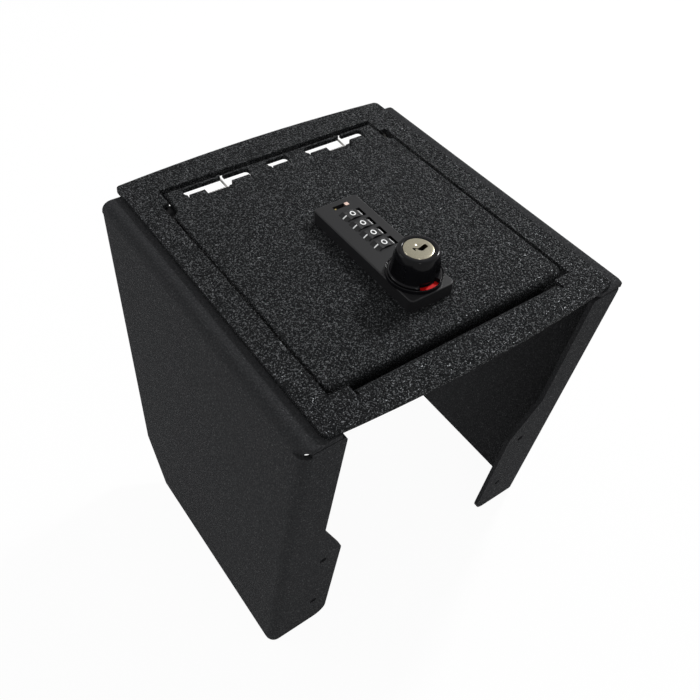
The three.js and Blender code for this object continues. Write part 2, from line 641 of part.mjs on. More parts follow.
function lid() {
  const shoulder = pinY - SHOULDER_LEAD;
  const corners = [
    [-lidX, lidFront, LID_CORNER],
    [lidX, lidFront, LID_CORNER],
    [lidX, shoulder],
    [neckX, shoulder + LID_NECK],
    [neckX, lidBack],
    [-neckX, lidBack],
    [-neckX, shoulder + LID_NECK],
    [-lidX, shoulder],
  ];
  const pan = solid(new THREE.ExtrudeGeometry(outline(corners), {
    depth: LID_FLANGE,
    bevelSize: LID_RADIUS,
    bevelThickness: LID_RADIUS,
    bevelOffset: -LID_RADIUS,
    bevelSegments: 3,
  }).translate(0, 0, HEIGHT - LID_RADIUS - LID_FLANGE));
  const front = prismX(outline([
    [lidFront, 0],
    [lidFront, HEIGHT, LID_FRONT_RADIUS],
    [BEZEL_DEPTH, HEIGHT],
    [BEZEL_DEPTH, 0],
  ]), -BODY_WIDTH, BODY_WIDTH);
  const below = box(-BODY_WIDTH, BODY_WIDTH, -BEZEL_DEPTH, BEZEL_DEPTH, 0, lidUnder);
  const insideX = lidX - STEEL;
  const inside = prismZ(rectangle(-insideX, insideX, lidFront + STEEL, BEZEL_DEPTH, LID_CORNER - STEEL),
    0, HEIGHT - STEEL);
  const insideNeck = neckX - STEEL;
  const behind = box(-insideNeck, insideNeck, shoulder, BEZEL_DEPTH, 0, HEIGHT - STEEL);
  const outside = box(-BODY_WIDTH, BODY_WIDTH, lidBack - STEEL, BEZEL_DEPTH, 0, HEIGHT - STEEL);
  let shell = pan.intersect(front).subtract(joined([below, inside, behind, outside]));
  const cutters = [];
  for (const [x0, x1] of windowRanges) {
    cutters.push(prismZ(rectangle(x0, x1, windowFront, windowFront + WINDOW_DEPTH, WINDOW_RADIUS),
      lidUnder, HEIGHT + 1));
    for (const x of [x0 + FOLD_CUT, x1 - 2 * FOLD_CUT]) {
      cutters.push(box(x, x + FOLD_CUT, windowFront - FOLD_CUT_DEPTH, windowFront + WINDOW_RADIUS,
        HEIGHT - STEEL - 1, HEIGHT + 1));
    }
  }
  const notchFront = windowFront - NOTCH_DEPTH;
  const notch = prismZ(rectangle(notchStart, notchEnd, notchFront, windowFront + 2 * WINDOW_RADIUS, 1),
    lidUnder, HEIGHT + 1);
  cutters.push(notch, mirrored(notch));
  for (const start of Object.values(coilStarts)) {
    const x = start + COIL_PITCH * COIL_TURNS;
    cutters.push(box(x - WIRE, x + WIRE, notchFront - LEG_RELIEF, BEZEL_DEPTH, lidUnder, HEIGHT + 1));
  }
  const bayWall = BAY_WALL + FIT;
  const lockCuts = [
    box(bay.x0 - bayWall, bay.x1 + bayWall, bay.y0 - bayWall, bay.y1 + bayWall, -2 * STEEL, STEEL),
    cylinderZ(BARREL_RADIUS + FIT, -2 * STEEL, STEEL, 0, knobY),
    ...Object.values(screws).map(([x, y]) => cylinderZ(SCREW.shank + FIT, -2 * STEEL, STEEL, x, y, SMALL)),
  ];
  cutters.push(moved(joined(lockCuts), 0, lockY, HEIGHT));
  shell = shell.subtract(joined(cutters));
  const tabs = [];
  for (const [x0, x1] of windowRanges) {
    tabs.push(hingeTab(x0 + 2 * FOLD_CUT, x1 - 2 * FOLD_CUT));
  }
  const springSpace = box(notchStart, notchEnd, pinY - 2 * knuckleRadius, BEZEL_DEPTH, 0, HEIGHT + 1);
  const pinBore = prismX(circle(PIN_RADIUS + PIN_PLAY, pinY, pinZ, FINE / 2), -sideX, sideX);
  const hinge = joined(tabs).subtract(springSpace).subtract(mirrored(springSpace));
  return shell.add(hinge).subtract(pinBore);
}
place('lid_panel', lid(), 'powderCoat');

// Lock housing: the raised plate with a cylindrical pocket for each dial, the barrel that carries the
// drive shaft through the lid, and the code-change slot. All lock pieces are in the lock's frame.
const dialZ = PLATE.height + DIAL_PROUD - DIAL_RADIUS;
const dialYs = Array.from({ length: DIALS }, (unused, i) => dialFirst - i * DIAL_PITCH);
const trayTop = -STEEL;
const trayUnder = trayTop - TRAY_DEPTH;
const trayFloor = trayUnder + TRAY_WALL;
const slideTop = PLATE.height - STEEL; // roof of the slider's pocket
const sliderY = PLATE.length / 2 - SLIDER.inset;

// A curved shield over the left of each dial, which carries the index line
function dialShield(y0, y1) {
  const inner = DIAL_RADIUS + SHIELD.gap;
  const outer = inner + SHIELD.wall;
  const arc = arcShape(inner, outer, 90 + SHIELD.from, 90 + SHIELD.to, 6);
  const shield = moved(prismY(arc, y0, y1), DIAL_X, 0, dialZ);
  return shield.intersect(box(-PLATE.width, PLATE.width, y0, y1, 0, PLATE.height + DIAL_PROUD));
}

function lockHousing() {
  const x = PLATE.width / 2;
  const y = PLATE.length / 2;
  const plate = solid(new THREE.ExtrudeGeometry(rectangle(-x, x, -y, y, PLATE.corner), {
    depth: PLATE.height,
    bevelSize: PLATE.bevel,
    bevelThickness: PLATE.bevel,
    bevelOffset: -PLATE.bevel,
    bevelSegments: 3,
  }).translate(0, 0, -PLATE.bevel)).subtract(box(-x, x, -y, y, -2 * PLATE.bevel, 0));
  const skirt = box(bay.x0 - BAY_WALL, bay.x1 + BAY_WALL, bay.y0 - BAY_WALL, bay.y1 + BAY_WALL, -SKIRT, 1);
  const barrel = cylinderZ(BARREL_RADIUS, trayFloor + FIT, 1, 0, knobY);
  const housing = joined([plate, skirt, barrel]);
  const pocketTop = dialZ + DIAL_RADIUS * 0.55;
  const seat = BAY_WALL - 0.4;
  const seatRadius = SPINDLE_RADIUS + 0.05;
  const cutters = [
    box(bay.x0, bay.x1, bay.y0, bay.y1, -SKIRT - 1, pocketTop),
    prismY(circle(seatRadius, DIAL_X, dialZ, SMALL), bay.y0 - seat, bay.y1 + seat),
    box(DIAL_X - seatRadius, DIAL_X + seatRadius, bay.y0 - seat, bay.y1 + seat, -SKIRT - 1, dialZ),
    cylinderZ(SHAFT_RADIUS + SHAFT_PLAY, trayUnder, PLATE.height + 1, 0, knobY),
  ];
  const half = DIAL_WIDTH / 2 + DIAL_PLAY / 2;
  const windowRadius = Math.hypot(DIAL_WINDOW, PLATE.height - dialZ);
  const above = box(-x, x, -y, y, pocketTop - 0.5, PLATE.height + 1);
  const windows = dialYs.map((dialY) => (
    prismY(circle(windowRadius, DIAL_X, dialZ, FINE), dialY - half, dialY + half)
  ));
  cutters.push(joined(windows).intersect(above));
  const slotX = SLIDER.slot / 2;
  const slotY = SLIDER.depth / 2 + SLIDER.play;
  const sliderX = SLIDER.x;
  cutters.push(box(sliderX - slotX, sliderX + slotX, sliderY - slotY, sliderY + slotY, 0, PLATE.height + 1));
  const footX = slotX + SLIDER.width / 2;
  const footY = slotY + SLIDER.width / 4;
  cutters.push(box(sliderX - footX, sliderX + footX, sliderY - footY, sliderY + footY, -1, slideTop));
  for (const [screwX, screwY] of Object.values(screws)) {
    cutters.push(cylinderZ(SCREW.shank + 0.1, -STEEL, SCREW.bite + FIT, screwX, screwY, SMALL));
  }
  const cut = housing.subtract(joined(cutters));
  return cut.add(joined(dialYs.map((dialY) => dialShield(dialY - half - FIT, dialY + half + FIT))));
}
place('lock_housing', lockHousing(), 'lockBlack', lock);

// Dial wheel: ten numbered faces divided by grooves, with a bore for the spindle
function dialWheel(y) {
  const corners = [];
  for (let i = 0; i < DIAL_FACES; i += 1) {
    const middle = (2 * Math.PI * i) / DIAL_FACES + Math.PI / 2;
    const half = Math.PI / DIAL_FACES;
    for (const share of [-0.78, -0.26, 0.26, 0.78]) {
      const angle = middle + share * half;
      corners.push([DIAL_RADIUS * Math.cos(angle), DIAL_RADIUS * Math.sin(angle)]);
    }
    const groove = middle + half;
    const bottom = DIAL_RADIUS - DIAL_GROOVE;
    corners.push([bottom * Math.cos(groove), bottom * Math.sin(groove)]);
  }
  const shape = outline(corners);
  const bore = circle(SPINDLE_RADIUS + 0.1, 0, 0, SMALL);
  const wheel = prismY(shape, -DIAL_WIDTH / 2, DIAL_WIDTH / 2)
    .subtract(prismY(bore, -DIAL_WIDTH, DIAL_WIDTH));
  return moved(wheel, DIAL_X, y, dialZ);
}
dialYs.forEach((y, i) => place(`dial_wheel_${i + 1}`, dialWheel(y), 'dialBlack', lock));

function spindle() {
  const reach = BAY_WALL - 0.4 - FIT;
  return prismY(circle(SPINDLE_RADIUS, DIAL_X, dialZ, SMALL), bay.y0 - reach, bay.y1 + reach);
}
place('dial_spindle', spindle(), 'zincSteel', lock);

// Lock body: a tray under the lid that closes the dials' bay and carries the shaft's lower end
const trayX = PLATE.width / 2 - FIT;
const trayFront = knobY - BARREL_RADIUS - TRAY_WALL - FIT;
const trayBack = PLATE.length / 2 - 0.5;
const noseUnder = strikeUnder - CAM_GAP - HEIGHT; // the cam's top face
const noseRadius = 8;
function lockBody() {
  const shell = prismZ(rectangle(-trayX, trayX, trayFront, trayBack, 2), trayUnder, trayTop);
  const hollow = prismZ(rectangle(-trayX + TRAY_WALL, trayX - TRAY_WALL, trayFront + TRAY_WALL,
    trayBack - TRAY_WALL, 1), trayFloor, 0);
  const nose = cylinderZ(noseRadius, noseUnder + FIT, trayFloor, 0, knobY);
  let body = shell.subtract(hollow).add(nose);
  for (const [x, y] of Object.values(screws)) {
    const post = cylinderZ(SCREW.shank + TRAY_WALL, trayFloor - 1, trayTop, x, y, SMALL);
    body = body.add(post.intersect(shell));
  }
  const bores = [cylinderZ(SHAFT_RADIUS + SHAFT_PLAY, noseUnder - 1, 0, 0, knobY)];
  for (const [x, y] of Object.values(screws)) {
    bores.push(cylinderZ(SCREW.shank + 0.1, trayUnder - 1, 0, x, y, SMALL));
  }
  return body.subtract(joined(bores));
}
place('lock_body', lockBody(), 'lockBlack', lock);

// Detent spring: a leaf on the tray's floor with a ridge under each dial
function detentSpring() {
  const bottom = trayFloor + FIT;
  const ridgeTop = dialZ - DIAL_RADIUS - FIT;
  const x0 = DIAL_X - DETENT.width / 2;
  const parts = [box(x0, x0 + DETENT.width, bay.y0, bay.y1, bottom, bottom + DETENT.leaf)];
  for (const y of dialYs) {
    parts.push(prismY(outline([
      [DIAL_X - DETENT.ridge / 2, bottom + DETENT.leaf / 2],
      [DIAL_X + DETENT.ridge / 2, bottom + DETENT.leaf / 2],
      [DIAL_X, ridgeTop],
    ]), y - DIAL_WIDTH / 3, y + DIAL_WIDTH / 3));
  }
  return joined(parts);
}
place('detent_spring', detentSpring(), 'springSteel', lock);

// Fixing screw with a hexagon socket, driven up through the tray and the lid into the housing
function fixingScrew([x, y]) {
  const headUnder = trayUnder - SCREW.headHeight;
  const head = cylinderZ(SCREW.head, headUnder, trayUnder, x, y, SMALL);
  const socket = cylinderZ(SCREW.head * 0.4, headUnder - 1, headUnder + SCREW.headHeight / 2, x, y, 6);
  return head.add(cylinderZ(SCREW.shank, trayUnder, SCREW.bite, x, y, SMALL)).subtract(socket);
}
place('rear_lock_screw', fixingScrew(screws.rear), 'zincSteel', lock);
place('middle_lock_screw', fixingScrew(screws.middle), 'zincSteel', lock);

// Code-change slider: a small tongue that moves sideways in its slot
function codeSlider() {
  const x = SLIDER.x + SLIDER.slot / 2 - FIT - SLIDER.width;
  const y = sliderY - SLIDER.depth / 2;
  const spread = SLIDER.width / 4;
  const tongue = box(x, x + SLIDER.width, y, y + SLIDER.depth, 1, PLATE.height + 0.4);
  const foot = box(x - spread, x + SLIDER.width + spread, y - spread, y + SLIDER.depth + spread,
    FIT, slideTop - SLIDER.play);
  return tongue.add(foot);
}
place('code_slider', codeSlider(), 'copper', lock);

// Base ring round the knob's foot, with the arc-shaped state window in its floor
const plateTop = PLATE.height;
function baseRing() {
  const bore = SHAFT_RADIUS + FIT;
  const inner = RING.radius - RING.wall;
  const ring = revolved([
    [bore, plateTop + RING.floorUnder],
    [inner, plateTop + RING.floorUnder],
    [inner, plateTop],
    [RING.radius, plateTop],
    [RING.radius, plateTop + RING.height - RING.wall / 2],
    [inner + RING.wall / 2, plateTop + RING.height],
    [inner - RING.wall / 4, plateTop + RING.height - RING.wall / 4],
    [inner - RING.wall / 2, plateTop + RING.floorTop],
    [bore, plateTop + RING.floorTop],
  ]);
  const { inner: near, outer: far, from, to } = WINDOW_ARC;
  return ring.subtract(prismZ(arcShape(near, far, from, to), plateTop, plateTop + RING.height + 1));
}
place('knob_base_ring', baseRing(), 'knobBlack', knobAxis);

// The disc under the ring's floor shows its colour in the window until the turned knob covers it
function stateDisc() {
  const bottom = plateTop + FIT;
  const top = plateTop + RING.floorUnder - FIT / 2;
  return cylinderZ(RING.radius - RING.wall - FIT, bottom, top, 0, 0, FINE)
    .subtract(cylinderZ(SHAFT_RADIUS + SHAFT_PLAY, bottom - 1, top + 1));
}
place('state_disc', stateDisc(), 'stateRed', knobAxis);

// Knob: a lobed body with scallops to grip, and a round collar that holds the key cylinder
const knobFoot = plateTop + RING.floorTop + FIT;
const collarFoot = KNOB_TOP - COLLAR_HEIGHT;
const knobFloor = knobFoot + KNOB_FLOOR;
const knobFlangeTop = knobFoot + KNOB_FLANGE;
function knob() {
  const bore = CYLINDER.shell + SHAFT_PLAY;
  const mouth = CYLINDER.face + SHAFT_PLAY;
  const faceSeat = KNOB_TOP - 1.7;
  const body = revolved([
    [SHAFT_RADIUS + SHAFT_PLAY, knobFoot],
    [KNOB_RADIUS - 0.3, knobFoot],
    [KNOB_RADIUS, knobFoot + 0.4],
    [KNOB_RADIUS - 0.2, knobFlangeTop],
    [LOBE.foot, knobFlangeTop + 0.5],
    [LOBE.top, collarFoot - 1],
    [LOBE.top - 0.7, collarFoot - 0.2],
    [COLLAR_RADIUS, collarFoot + 0.3],
    [COLLAR_RADIUS, KNOB_TOP - 1.5],
    [COLLAR_RADIUS - 0.35, KNOB_TOP - 0.5],
    [COLLAR_RADIUS - 1.1, KNOB_TOP],
    [mouth + 0.4, KNOB_TOP],
    [mouth, KNOB_TOP - 0.4],
    [mouth, faceSeat],
    [bore, faceSeat],
    [bore, knobFloor],
    [SHAFT_RADIUS + SHAFT_PLAY, knobFloor],
  ]);
  const reach = LOBE.top - SCALLOP_DEPTH + SCALLOP_RADIUS;
  const scallops = Array.from({ length: SCALLOPS }, (unused, i) => {
    const angle = THREE.MathUtils.degToRad(SCALLOP_TURN + (360 * i) / SCALLOPS);
    const x = reach * Math.cos(angle);
    const y = reach * Math.sin(angle);
    return cylinderZ(SCALLOP_RADIUS, knobFlangeTop, collarFoot, x, y, FINE / 2);
  });
  const { inner, rise, margin } = HOOD;
  const { from, to } = WINDOW_ARC;
  const hoodShape = arcShape(inner, RING.radius, from - margin, to + margin);
  const hood = prismZ(hoodShape, knobFoot - 1, knobFoot + rise);
  return body.subtract(joined(scallops)).subtract(hood);
}
place('knob', knob(), 'knobBlack', knobAxis);

// Key cylinder: a sleeve fixed in the knob, the plug that the key turns, and the plug's wafers
const plugTop = KNOB_TOP - 0.1;
const faceUnder = KNOB_TOP - 1.4;
const sleeveTop = faceUnder - FIT;
const sleeveFloor = knobFloor + FIT;
function cylinderShell() {
  return revolved([
    [CYLINDER.plug + SHAFT_PLAY, sleeveFloor],
    [CYLINDER.shell, sleeveFloor],
    [CYLINDER.shell, sleeveTop],
    [CYLINDER.plug + SHAFT_PLAY, sleeveTop],
  ], MEDIUM);
}
place('key_cylinder_shell', cylinderShell(), 'brass', knobAxis);

const keyAxis = new THREE.Group();
keyAxis.rotation.z = THREE.MathUtils.degToRad(CYLINDER.turn);
knobAxis.add(keyAxis);
const waferPitch = (sleeveTop - sleeveFloor - 4) / WAFERS;
const waferZs = Array.from({ length: WAFERS }, (unused, i) => sleeveFloor + 2 + waferPitch * (i + 0.5));
function keyPlug() {
  const face = revolved([
    [0, faceUnder],
    [CYLINDER.face, faceUnder],
    [CYLINDER.face, plugTop - 0.5],
    [CYLINDER.face - 0.5, plugTop],
    [CYLINDER.face * 0.5, plugTop + 0.2],
    [0, plugTop + 0.25],
  ]);
  const plug = face.add(cylinderZ(CYLINDER.plug, sleeveFloor, faceUnder + 0.5));
  const [left, right, width] = CYLINDER.keyway;
  const keyway = box(left, right, -width / 2, width / 2, sleeveFloor + 1, KNOB_TOP + 1);
  const slotX = WAFER.width / 2 + SHAFT_PLAY;
  const slotHalf = WAFER.thickness / 2 + FIT / 2;
  const slotY = COLLAR_RADIUS;
  const slots = waferZs.map((z) => box(-slotX, slotX, -slotY, slotY, z - slotHalf, z + slotHalf));
  return plug.subtract(keyway).subtract(joined(slots));
}
place('key_plug', keyPlug(), 'nickel', keyAxis);

function keyWafer(z) {
  const x = WAFER.width / 2;
  const y = WAFER.length / 2;
  const half = WAFER.thickness / 2;
  const hole = box(-x * 0.4, x * 0.4, -y * 0.5, y * 0.5, z - 1, z + 1);
  return box(-x, x, -y, y, z - half, z + half).subtract(hole);
}
waferZs.forEach((z, i) => place(`key_wafer_${i + 1}`, keyWafer(z), 'brass', keyAxis));

// Drive shaft: round through the housing and the lock body, square where it holds the cam
const camTop = noseUnder;
const camUnder = camTop - CAM.thickness;
function driveShaft() {
  const round = cylinderZ(SHAFT_RADIUS, camTop, knobFloor);
  const half = SHAFT_SQUARE / 2;
  const square = box(-half, half, -half, half, camUnder + FIT / 2, camTop + 1);
  const bore = cylinderZ(SCREW.shank + 0.1, camUnder - 1, camTop + BOLT_BITE + 2, 0, 0, SMALL);
  return round.add(square).subtract(bore);
}
place('drive_shaft', driveShaft(), 'zincSteel', knobAxis);

// Latch cam: at rest it points along +X, clear of the strike lip; locked, it points to the front
function latchCam() {
  const half = SHAFT_SQUARE / 2 + SHAFT_PLAY;
  const y = CAM.width / 2;
  const arm = prismZ(outline([
    [0, -y],
    [CAM.length, -y, 4],
    [CAM.length, y, 4],
    [0, y],
  ]), camUnder, camTop - FIT / 2);
  const hub = cylinderZ(CAM.hub, camUnder, camTop - FIT / 2);
  return arm.add(hub).subtract(box(-half, half, -half, half, camUnder - 1, camTop + 1));
}
place('latch_cam', latchCam(), 'zincSteel', knobAxis);

const washerThickness = 1;
function camWasher() {
  return cylinderZ(SHAFT_RADIUS + 1.6, camUnder - washerThickness, camUnder, 0, 0, SMALL)
    .subtract(cylinderZ(SCREW.shank + 0.2, camUnder - 2, camUnder + 1, 0, 0, SMALL));
}
place('cam_washer', camWasher(), 'zincSteel', knobAxis);

function camBolt() {
  const under = camUnder - washerThickness;
  const head = cylinderZ(4.2, under - 3, under, 0, 0, 6);
  return head.add(cylinderZ(SCREW.shank, under, camTop + BOLT_BITE, 0, 0, SMALL));
}
place('cam_bolt', camBolt(), 'zincSteel', knobAxis);

export default safe;
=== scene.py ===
import json
import math

import bpy
from mathutils import Matrix, Vector

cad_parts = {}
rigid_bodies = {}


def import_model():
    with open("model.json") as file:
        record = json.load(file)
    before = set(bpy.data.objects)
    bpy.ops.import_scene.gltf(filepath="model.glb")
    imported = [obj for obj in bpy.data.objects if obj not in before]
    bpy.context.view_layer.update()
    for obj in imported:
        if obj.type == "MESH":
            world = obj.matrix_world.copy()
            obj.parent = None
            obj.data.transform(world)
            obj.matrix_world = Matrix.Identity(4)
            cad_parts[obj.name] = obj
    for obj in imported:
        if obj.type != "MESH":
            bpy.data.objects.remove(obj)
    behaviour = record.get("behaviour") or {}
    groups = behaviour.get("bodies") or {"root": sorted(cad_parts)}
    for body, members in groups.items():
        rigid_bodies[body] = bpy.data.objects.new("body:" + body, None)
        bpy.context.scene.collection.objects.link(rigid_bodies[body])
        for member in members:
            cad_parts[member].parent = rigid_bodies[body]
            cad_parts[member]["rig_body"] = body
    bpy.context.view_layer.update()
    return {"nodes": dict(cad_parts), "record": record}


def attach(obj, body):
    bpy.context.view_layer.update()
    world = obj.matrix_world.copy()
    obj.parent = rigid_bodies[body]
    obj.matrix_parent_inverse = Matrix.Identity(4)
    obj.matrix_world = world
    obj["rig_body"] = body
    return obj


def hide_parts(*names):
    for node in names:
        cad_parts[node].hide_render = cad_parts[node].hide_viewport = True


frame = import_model()
mm = 0.001

# %% [markdown]
# ## The camera
# The picture was taken from the front left and above, with the camera turned a little about its
# own axis. Three directions describe it: where its right side, its top and its back point. They
# fill the columns of the camera's matrix, which is plainer than three chained rotations. The
# frame is a crop of a wider picture, so the lens is shifted a little.
# %% Set up the camera
CAMERA_PLACE = Vector((-0.248147, -0.289301, 0.54941))
CAMERA_AZIMUTH = math.radians(-39.293)
CAMERA_ELEVATION = math.radians(43.605)
CAMERA_ROLL = math.radians(-5.358)
SENSOR_WIDTH = 36  # mm
FOCAL_LENGTH = 43.085  # mm
LENS_SHIFT = (0.0214, -0.0786)
NEAREST, FARTHEST = 0.01, 20  # metres


def camera_matrix(place, azimuth, elevation, roll):
    """The camera's place and directions as one matrix."""
    level = math.cos(elevation)
    back = Vector((math.sin(azimuth) * level, -math.cos(azimuth) * level, math.sin(elevation)))
    right = Vector((math.cos(azimuth), math.sin(azimuth), 0))
    up = back.cross(right)
    c, s = math.cos(roll), math.sin(roll)
    turned_right = c * right - s * up
    turned_up = s * right + c * up
    directions = Matrix((turned_right, turned_up, back)).transposed()
    return Matrix.Translation(place) @ directions.to_4x4()


lens_data = bpy.data.cameras.new("camera")
lens_data.sensor_width = SENSOR_WIDTH
lens_data.lens = FOCAL_LENGTH
lens_data.shift_x, lens_data.shift_y = LENS_SHIFT
lens_data.clip_start, lens_data.clip_end = NEAREST, FARTHEST
camera = bpy.data.objects.new("camera", lens_data)
bpy.context.scene.collection.objects.link(camera)
camera.matrix_world = camera_matrix(
    CAMERA_PLACE, CAMERA_AZIMUTH, CAMERA_ELEVATION, CAMERA_ROLL
)
bpy.context.scene.camera = camera
bpy.context.scene.view_settings.view_transform = "Standard"
print("camera stands", round(CAMERA_PLACE.length, 3), "m from the safe's foot")

# %% [markdown]
# ## A white world
# The safe stands in front of white. A white ground is made by what the camera sees, not by more
# light: for camera, glossy and transmission rays the world is plain white, and only a weaker
# fill lights the safe. One helper tells the kinds of rays apart, and one mixes the two shaders.
# %% Make the world
WHITE = (1, 1, 1, 1)
FILL_STRENGTH = 0.5


def link(tree, source, target):
    """Joins an output socket to an input socket."""
    tree.links.new(source, target)


def seen_directly(tree):
    """1 for camera, glossy and transmission rays, 0 for the rest."""
    rays = tree.nodes.new("ShaderNodeLightPath")
    total = rays.outputs["Is Camera Ray"]
    for kind in ("Is Glossy Ray", "Is Transmission Ray"):
        add = tree.nodes.new("ShaderNodeMath")
        add.operation = "ADD"
        add.use_clamp = True
        link(tree, total, add.inputs[0])
        link(tree, rays.outputs[kind], add.inputs[1])
        total = add.outputs[0]
    return total


def mixed_surface(tree, share, plain, shown, output):
    """Sends a mix of two shaders to the tree's output node."""
    mix = tree.nodes.new("ShaderNodeMixShader")
    link(tree, share, mix.inputs[0])
    link(tree, plain.outputs[0], mix.inputs[1])
    link(tree, shown.outputs[0], mix.inputs[2])
    link(tree, mix.outputs[0], tree.nodes.new(output).inputs["Surface"])


world = bpy.data.worlds.new("white_studio")
bpy.context.scene.world = world
world.use_nodes = True
tree = world.node_tree
tree.nodes.clear()
shown = tree.nodes.new("ShaderNodeBackground")
shown.inputs["Color"].default_value = WHITE
fill = tree.nodes.new("ShaderNodeBackground")
fill.inputs["Color"].default_value = WHITE
fill.inputs["Strength"].default_value = FILL_STRENGTH
mixed_surface(tree, seen_directly(tree), fill, shown, "ShaderNodeOutputWorld")
print("world fill", FILL_STRENGTH)

# %% [markdown]
# ## The floor
# The floor is mostly plain white too, where it is seen directly. The small rest of it is matt
# paint, which is darker where the safe keeps the light off, and leaves a faint soft shadow.
# %% Lay the floor
FLOOR_SIZE = 8  # metres
FLOOR_HEIGHT = -0.2 * mm
FLOOR_GREY = (0.9, 0.9, 0.9, 1)
GLOW_SHARE = 0.955

bpy.ops.mesh.primitive_plane_add(size=FLOOR_SIZE, location=(0, 0, FLOOR_HEIGHT))
floor = bpy.context.object
floor.name = "floor"
paint = bpy.data.materials.new("floor_white")
paint.use_nodes = True
tree = paint.node_tree
tree.nodes.clear()
matt = tree.nodes.new("ShaderNodeBsdfDiffuse")
matt.inputs["Color"].default_value = FLOOR_GREY
glow = tree.nodes.new("ShaderNodeEmission")
glow.inputs["Color"].default_value = WHITE
share = tree.nodes.new("ShaderNodeMath")
share.operation = "MULTIPLY"
share.inputs[1].default_value = GLOW_SHARE
link(tree, seen_directly(tree), share.inputs[0])
mixed_surface(tree, share.outputs[0], matt, glow, "ShaderNodeOutputMaterial")
floor.data.materials.append(paint)
print("floor", floor.dimensions.x, "m wide")

# %% [markdown]
# ## The lamps
# Black paint shows its shape by the small bright points and lines that it mirrors. A small strong
# lamp behind on the right draws the glints on the coat, and a large weak one behind on the left
# lights the panel there. A third, small and very weak, in front on the left adds thin lines along
# the rounded edges.
# %% Hang the lamps
LAMP_TARGET = Vector((0, 0, 0.15))
lamps = {  # place in metres, length of a side in metres, watts
    "key_lamp": ((1.18, 0.32, 1.18), 0.2, 20),
    "side_lamp": ((-1.1, 0.9, 1.0), 0.6, 5),
    "edge_lamp": ((-0.5, -1.1, 1.0), 0.15, 1.5),
}


def lamp(name, place, size, watts):
    """A square area lamp that faces the safe."""
    data = bpy.data.lights.new(name, "AREA")
    data.size = size
    data.energy = watts
    obj = bpy.data.objects.new(name, data)
    bpy.context.scene.collection.objects.link(obj)
    obj.location = place
    obj.rotation_euler = (LAMP_TARGET - Vector(place)).to_track_quat("-Z", "Y").to_euler()


for name, settings in lamps.items():
    lamp(name, *settings)

# %% [markdown]
# ## Building blocks for the finishes
# Every finish is a tree of nodes on the object's own coordinates, in metres, so its grain has a
# true size. The blocks are few: one principled shader, a noise, a change of range, a blend of two
# colours and a bump. A value that is the same all over sits on the shader's own socket.
# %% Helpers for the finishes


def shader(name, color, roughness, metallic=0.0, specular=0.5):
    """A material with one principled shader, whose plain values sit on its own sockets."""
    material = bpy.data.materials.new(name)
    material.use_nodes = True
    node = material.node_tree.nodes["Principled BSDF"]
    node.inputs["Base Color"].default_value = (*color, 1)
    node.inputs["Roughness"].default_value = roughness
    node.inputs["Metallic"].default_value = metallic
    node.inputs["Specular IOR Level"].default_value = specular
    return material, material.node_tree, node


def noise(tree, scale, detail, roughness):
    """A noise texture on object coordinates; scale is in cycles per metre."""
    place = tree.nodes.new("ShaderNodeTexCoord")
    texture = tree.nodes.new("ShaderNodeTexNoise")
    texture.inputs["Scale"].default_value = scale
    texture.inputs["Detail"].default_value = detail
    texture.inputs["Roughness"].default_value = roughness
    link(tree, place.outputs["Object"], texture.inputs["Vector"])
    return texture


def ramp(tree, value, low, high, start, end):
    """Maps a value from the range low..high to start..end."""
    node = tree.nodes.new("ShaderNodeMapRange")
    node.inputs["From Min"].default_value = low
    node.inputs["From Max"].default_value = high
    node.inputs["To Min"].default_value = start
    node.inputs["To Max"].default_value = end
    link(tree, value, node.inputs["Value"])
    return node.outputs["Result"]


def tint(tree, value, dark, light, under=None):
    """A colour between two, by a value from 0 to 1; a pattern may stand for the first."""
    node = tree.nodes.new("ShaderNodeMix")
    node.data_type = "RGBA"
    node.inputs["A"].default_value = (*dark, 1)
    if under is not None:
        link(tree, under, node.inputs["A"])
    node.inputs["B"].default_value = (*light, 1)
    link(tree, value, node.inputs["Factor"])
    return node.outputs["Result"]


def bump(tree, height, node, distance, strength=1.0, under=None):
    """Lifts the surface by a height pattern, on top of another lift if there is one."""
    lift = tree.nodes.new("ShaderNodeBump")
    lift.inputs["Distance"].default_value = distance
    lift.inputs["Strength"].default_value = strength
    link(tree, height, lift.inputs["Height"])
    if under is not None:
        link(tree, under, lift.inputs["Normal"])
    link(tree, lift.outputs[0], node.inputs["Normal"])
    return lift.outputs[0]


# %% [markdown]
# ## The wrinkled coat
# The safe's coat is a mesh of small raised cells about a millimetre and a half across, matt but
# for tiny glossy tips that catch the lamp. A cell pattern lifts the surface, and the same pattern
# colours the valleys between the cells darker and their crests lighter, as painted shading. Its
# coordinates are pushed about by a noise first, because plain cells would look like a honeycomb.
# A finer noise adds grain, and a third one picks the tips. The upright panels get a copy of the
# coat, finer and duller, whose base colour is painted lighter as painted light in place of the
# light that its gloss would mirror there.
# %% Write the coat
WARP_SCALE, WARP_REACH = 480, 2 * mm
CELL_SMOOTHNESS = 0.35
CELL_RANGE = (0.1, 0.75)  # distance from a cell's middle, as a share of its size
GRAIN_SCALE = 1700
FACET_SCALE = 1300
MATT = 0.85


